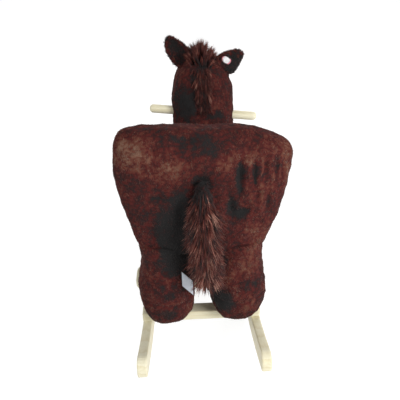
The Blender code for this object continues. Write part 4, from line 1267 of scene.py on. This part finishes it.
def make_mane():
    """A strip sewn along the crest: locks lie down the neck and stand up as a tuft on the crown."""
    rng = np.random.default_rng(41)
    line = metres(MANE_LINE)
    share = np.linspace(0, 1, len(line))
    fine = np.linspace(0, 1, 40)
    path = np.stack([np.interp(fine, share, line[:, i]) for i in range(3)], axis=1)
    ahead = unit(np.gradient(path, axis=0))
    out = np.cross(ACROSS, ahead)
    rings = []
    for i, place in enumerate(path):
        half = 0.0065 * (0.35 + 0.65 * math.sin(math.pi * (0.06 + 0.88 * fine[i])) ** 0.4)
        rings.append(ring_at(place, ACROSS, out[i], half, 0.0022, 14, 2.2))
    core = subdivided(outward(loft("mane_strip", rings, BACKING)))
    paint(core, lambda p: -0.20)
    placed(core, "horse", "long_pile", "mane", fill=0.4)

    neck, neck_shade = neck_locks(path, ahead, out, rng)
    crown, crown_shade = crown_locks(line, rng)
    centres = np.concatenate([neck[0], crown[0]], axis=1)
    first, second = (np.concatenate([neck[k], crown[k]]) for k in (1, 2))
    shades = np.concatenate([neck_shade[neck[3]], crown_shade[crown[3]]])
    shades = shades + rng.normal(0, 0.14, len(shades))
    widths = 0.00048 * rng.uniform(0.6, 1.3, len(shades))
    pile = strand_mesh("mane_pile", centres, first, second, widths, shades, LONG_PILE, 44, rise=0.60)
    attached(pile, core)


# Tail

# The middle of the core in millimetres: x, y, z, half width
TAIL_LINE = [
    (9, -245, 405, 4.5),
    (8.5, -248, 398, 8.5),
    (8, -252, 386, 10.5),
    (7.5, -256, 368, 10.5),
    (8, -259, 320, 11),
    (9.5, -260, 280, 11),
    (11.5, -260, 248, 10.5),
    (12, -259, 226, 8.5),
    (12, -259, 214, 4.5),
]
TAIL_LOCKS = 980
# The height where the locks start, and the height at which the longest ones end
TAIL_START = 0.390
TAIL_END = 0.190


def make_tail():
    """A stuffed core with a smooth root, covered with locks that fan out and down."""
    rng = np.random.default_rng(51)
    stations = [(z, x - half, x + half, y, 0.75 * half) for x, y, z, half in metres(TAIL_LINE)[::-1]]
    core = remeshed(loft("tail_core", level_rings(stations, 2.0, 20), BACKING), FINE_VOXEL)
    placed(core, "tail", "long_pile", "tail", fill=0.5)
    add_pile(core, (0.0, -0.1, -1.0), 520, length=0.012, tone=lambda p: -0.36)

    area = sum(face.area for face in core.data.polygons)
    bases, normals = scattered(core, TAIL_LOCKS / area, 52)
    kept = (normals[:, 1] < 0.6) & (bases[:, 2] < TAIL_START)
    bases, normals = bases[kept], normals[kept]
    count = len(bases)
    share = np.clip((TAIL_START - bases[:, 2]) / 0.03, 0, 1)
    low = np.clip((0.255 - bases[:, 2]) / 0.04, 0, 1)
    radial = unit(normals * (1.0, 1.0, 0.25))
    radial[:, 1] = np.minimum(radial[:, 1], 0.15)
    lift = np.radians(22 + 12 * share + 8 * low + rng.normal(0, 8, count))
    ways = np.sin(lift)[:, None] * radial + np.cos(lift)[:, None] * np.array(DOWN)
    ways += rng.normal(0, 0.07, (count, 3))
    bends = 0.10 * np.array(DOWN) + 0.10 * radial * low[:, None]
    lengths = 0.036 * (0.62 + 0.38 * share) * (1 - 0.12 * low) * rng.uniform(0.75, 1.12, count)
    longest = (bases[:, 2] - TAIL_END) / np.cos(lift) * rng.uniform(0.9, 1.03, count)
    lengths = np.minimum(lengths, longest)
    centres, first, second, lock = lock_strands(
        bases, ways, bends, lengths, 0.0018, 12, rng, stray=0.10, draw=0.55
    )
    own = 0.36 + 0.20 * rng.normal(size=count) - 0.08 * (1 - share) - 0.08 * (bases[:, 2] > 0.310)
    shades = own[lock] + rng.normal(0, 0.17, len(lock))
    widths = 0.00070 * rng.uniform(0.6, 1.35, len(lock))
    pile = strand_mesh("tail_pile", centres, first, second, widths, shades, LONG_PILE, 54, rise=0.65)
    attached(pile, core)


# Small pieces


def make_tag():
    """A blank folded ribbon sewn in a seam: its two leaves hang together."""
    made = placed(copy_of("care_tag", "care_ribbon", SATIN), "horse", "satin_ribbon", "care_tag")


def make_eye(side, outside):
    """A glossy brown eye with a dark pupil, in a thin felt lid."""
    low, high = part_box("eye_" + side)
    centre, radius = (low + high) / 2, (high.x - low.x) / 2
    ahead = Vector((0.55 * outside, 0.82, 0.12)).normalized()
    turn = ahead.to_track_quat("Z", "Y")
    work = bmesh.new()
    bmesh.ops.create_uvsphere(work, u_segments=48, v_segments=32, radius=radius)
    bmesh.ops.rotate(work, verts=work.verts, matrix=turn.to_matrix())
    bmesh.ops.translate(work, verts=work.verts, vec=centre)
    eye = object_from(work, "eye_ball_" + side, EYE)
    eye.data.shade_smooth()
    turned = (points_of(eye) - np.array(centre)) @ np.array(ahead) / radius
    write_values(eye.data, "ring", np.arccos(np.clip(turned, -1, 1)))
    placed(eye, "horse", "eye_plastic", "eye_" + side)

    # The lid is a thin roll round the eye, a little before its middle
    rings = []
    for angle in np.linspace(0, 2 * math.pi, 36, endpoint=False):
        spoke = np.array(turn @ Vector((math.cos(angle), math.sin(angle), 0)))
        middle = np.array(centre + 0.20 * radius * ahead) + 0.99 * radius * spoke
        rings.append(ring_at(middle, spoke, np.array(ahead), 0.0013, 0.0017, 8))
    placed(outward(loft("eye_lid_" + side, rings, STITCH, hoop=True)), "horse", "plush")


def make_handle(rounded=0.009):
    """The dowel with its turned round ends."""
    places = points_of(cad_nodes["handle_dowel"])
    low, high = places.min(0), places.max(0)
    left = places[places[:, 0] < low[0] + 0.004].mean(0)
    right = places[places[:, 0] > high[0] - 0.004].mean(0)
    axis = unit(right - left)
    middle = (low + high) / 2
    along = (places - middle) @ axis
    radius = np.linalg.norm(places - middle - along[:, None] * axis, axis=1).max()
    half = along.max()
    first = unit(np.cross(axis, (0.0, 0.0, 1.0)))
    second = np.cross(axis, first)
    end = [
        (half - rounded * (1 - math.sin(math.pi / 2 - turn)), radius * math.sin(turn) ** 0.8)
        for turn in np.linspace(0.12, math.pi / 2, 9)
    ]
    stations = [(-reach, size) for reach, size in end] + [(0.0, radius)] + end[::-1]
    rings = [ring_at(middle + reach * axis, first, second, size, size, 32) for reach, size in stations]
    made = outward(loft("handle_turned", rings, WOOD["x"]))
    placed(made, "horse", "pale_wood", "handle_dowel")


# CAD pieces that stay, with their materials

STAYING = {
    "rocker_left": WOOD["y"],
    "rocker_right": WOOD["y"],
    "rear_cross_bar": WOOD["x"],
    "front_cross_bar": WOOD["x"],
    "footrest": WOOD["x"],
    "seat_board": PLYWOOD,
    "backrest_board": PLYWOOD,
    "neck_board": PLYWOOD,
    "seat_foam": FOAM,
    "back_foam": FOAM,
    "sound_housing": WHITE_PLASTIC,
    "sound_board": BOARD_GREEN,
    "ear_button": PATCH,
    "ear_patch_rim": RIM,
}


def dress_frame():
    dressed = dict(STAYING)
    for name in cad_nodes:
        if name.startswith("leg_post"):
            dressed[name] = WOOD["z"]
        elif "screw" in name or "bolt" in name:
            dressed[name] = STEEL
    for name, material in dressed.items():
        mesh = cad_nodes[name].data
        mesh.materials.clear()
        mesh.materials.append(material)


# Stage

FLOOR_HALF = 6
# The camera's place and angles in degrees
CAMERA = (-0.013, -0.988, 0.789)
CAMERA_YAW = 1.27
CAMERA_PITCH = 29.47
CAMERA_ROLL = 1.81


def seen_directly(tree):
    """1 for a ray from the camera, or one that metal or glass sends on."""
    path = tree.nodes.new("ShaderNodeLightPath").outputs
    sent_on = math_node(tree, "MAXIMUM", path["Is Glossy Ray"], path["Is Transmission Ray"])
    return math_node(tree, "MAXIMUM", path["Is Camera Ray"], sent_on)


def mix_surfaces(tree, factor, first, second, output):
    both = tree.nodes.new("ShaderNodeMixShader")
    for socket, source in zip(both.inputs, (factor, first, second)):
        link(tree, source, socket)
    link(tree, both.outputs[0], tree.nodes[output].inputs["Surface"])


def make_floor():
    material, tree, shader = new_material("pale_floor", {"Roughness": 0.9, "Base Color": (0.9, 0.9, 0.9, 1)})
    glow = tree.nodes.new("ShaderNodeEmission")
    glow.inputs["Strength"].default_value = 1.24
    share = math_node(tree, "MULTIPLY", seen_directly(tree), 0.72)
    mix_surfaces(tree, share, shader.outputs[0], glow.outputs[0], "Material Output")
    corners = [(x * FLOOR_HALF, y * FLOOR_HALF, 0) for x, y in ((-1, -1), (1, -1), (1, 1), (-1, 1))]
    mesh_object("floor", corners, [(0, 1, 2, 3)], material)


def make_world():
    """A soft even light, which looks white from the camera."""
    world = bpy.data.worlds.new("studio")
    bpy.context.scene.world = world
    world.use_nodes = True
    tree = world.node_tree
    plain = tree.nodes["Background"]
    white = tree.nodes.new("ShaderNodeBackground")
    for node, strength in ((plain, 0.40), (white, 1.0)):
        set_inputs(node, {"Color": (1, 1, 1, 1), "Strength": strength})
    mix_surfaces(tree, seen_directly(tree), plain.outputs[0], white.outputs[0], "World Output")


def add_lamp(name, place, target, size, power):
    data = bpy.data.lights.new(name, "AREA")
    data.size = size
    data.energy = power
    made = bpy.data.objects.new(name, data)
    made.location = place
    made.rotation_euler = (Vector(target) - Vector(place)).to_track_quat("-Z", "Y").to_euler()
    bpy.context.scene.collection.objects.link(made)


def make_camera():
    yaw, pitch, roll = (math.radians(angle) for angle in (CAMERA_YAW, CAMERA_PITCH, CAMERA_ROLL))
    ahead = Vector((math.sin(yaw) * math.cos(pitch), math.cos(yaw) * math.cos(pitch), -math.sin(pitch)))
    data = bpy.data.cameras.new("camera")
    data.lens = 45.0
    data.sensor_width = 36.0
    camera = bpy.data.objects.new("camera", data)
    camera.location = CAMERA
    camera.rotation_mode = "QUATERNION"
    camera.rotation_quaternion = ahead.to_track_quat("-Z", "Y") @ Quaternion((0, 0, 1), -roll)
    bpy.context.scene.collection.objects.link(camera)
    bpy.context.scene.camera = camera


make_floor()
make_world()
add_lamp("key", (1.35, -1.60, 1.10), (0.0, -0.05, 0.28), 0.8, 38)
add_lamp("fill", (-1.7, -0.9, 1.4), (0.0, 0.0, 0.3), 1.4, 12)
add_lamp("front", (0.7, 1.9, 1.5), (0.0, 0.0, 0.3), 1.2, 20)
make_camera()
bpy.context.scene.view_settings.view_transform = "Standard"

dress_frame()
make_back()
legs = {node: make_leg(node, 500 + 10 * i) for i, node in enumerate(FOOT_HANG)}
make_head()
make_muzzle()
make_block("chest", "chest_plush", 60, (0.0, 0.3, -1.0), outset=0.004, rounds=30, shape=sloped)
make_block("belly", "belly_plush", 70, (0.0, -1.0, 0.0))
make_block("seat_cover", "seat_plush", 80, (0.0, -1.0, 0.0), fill=0.7)
for wing, wing_seed in (("wing_left", 85), ("wing_right", 90)):
    make_block(
        wing, wing + "_plush", wing_seed, (0.0, 0.2, -1.0), copy_of, outset=0.0025, rounds=8, shape=reaching
    )
make_left_ear()
make_right_ear()
make_mane()
make_tail()
make_tag()
make_eye("left", -1)
make_eye("right", 1)
make_handle()
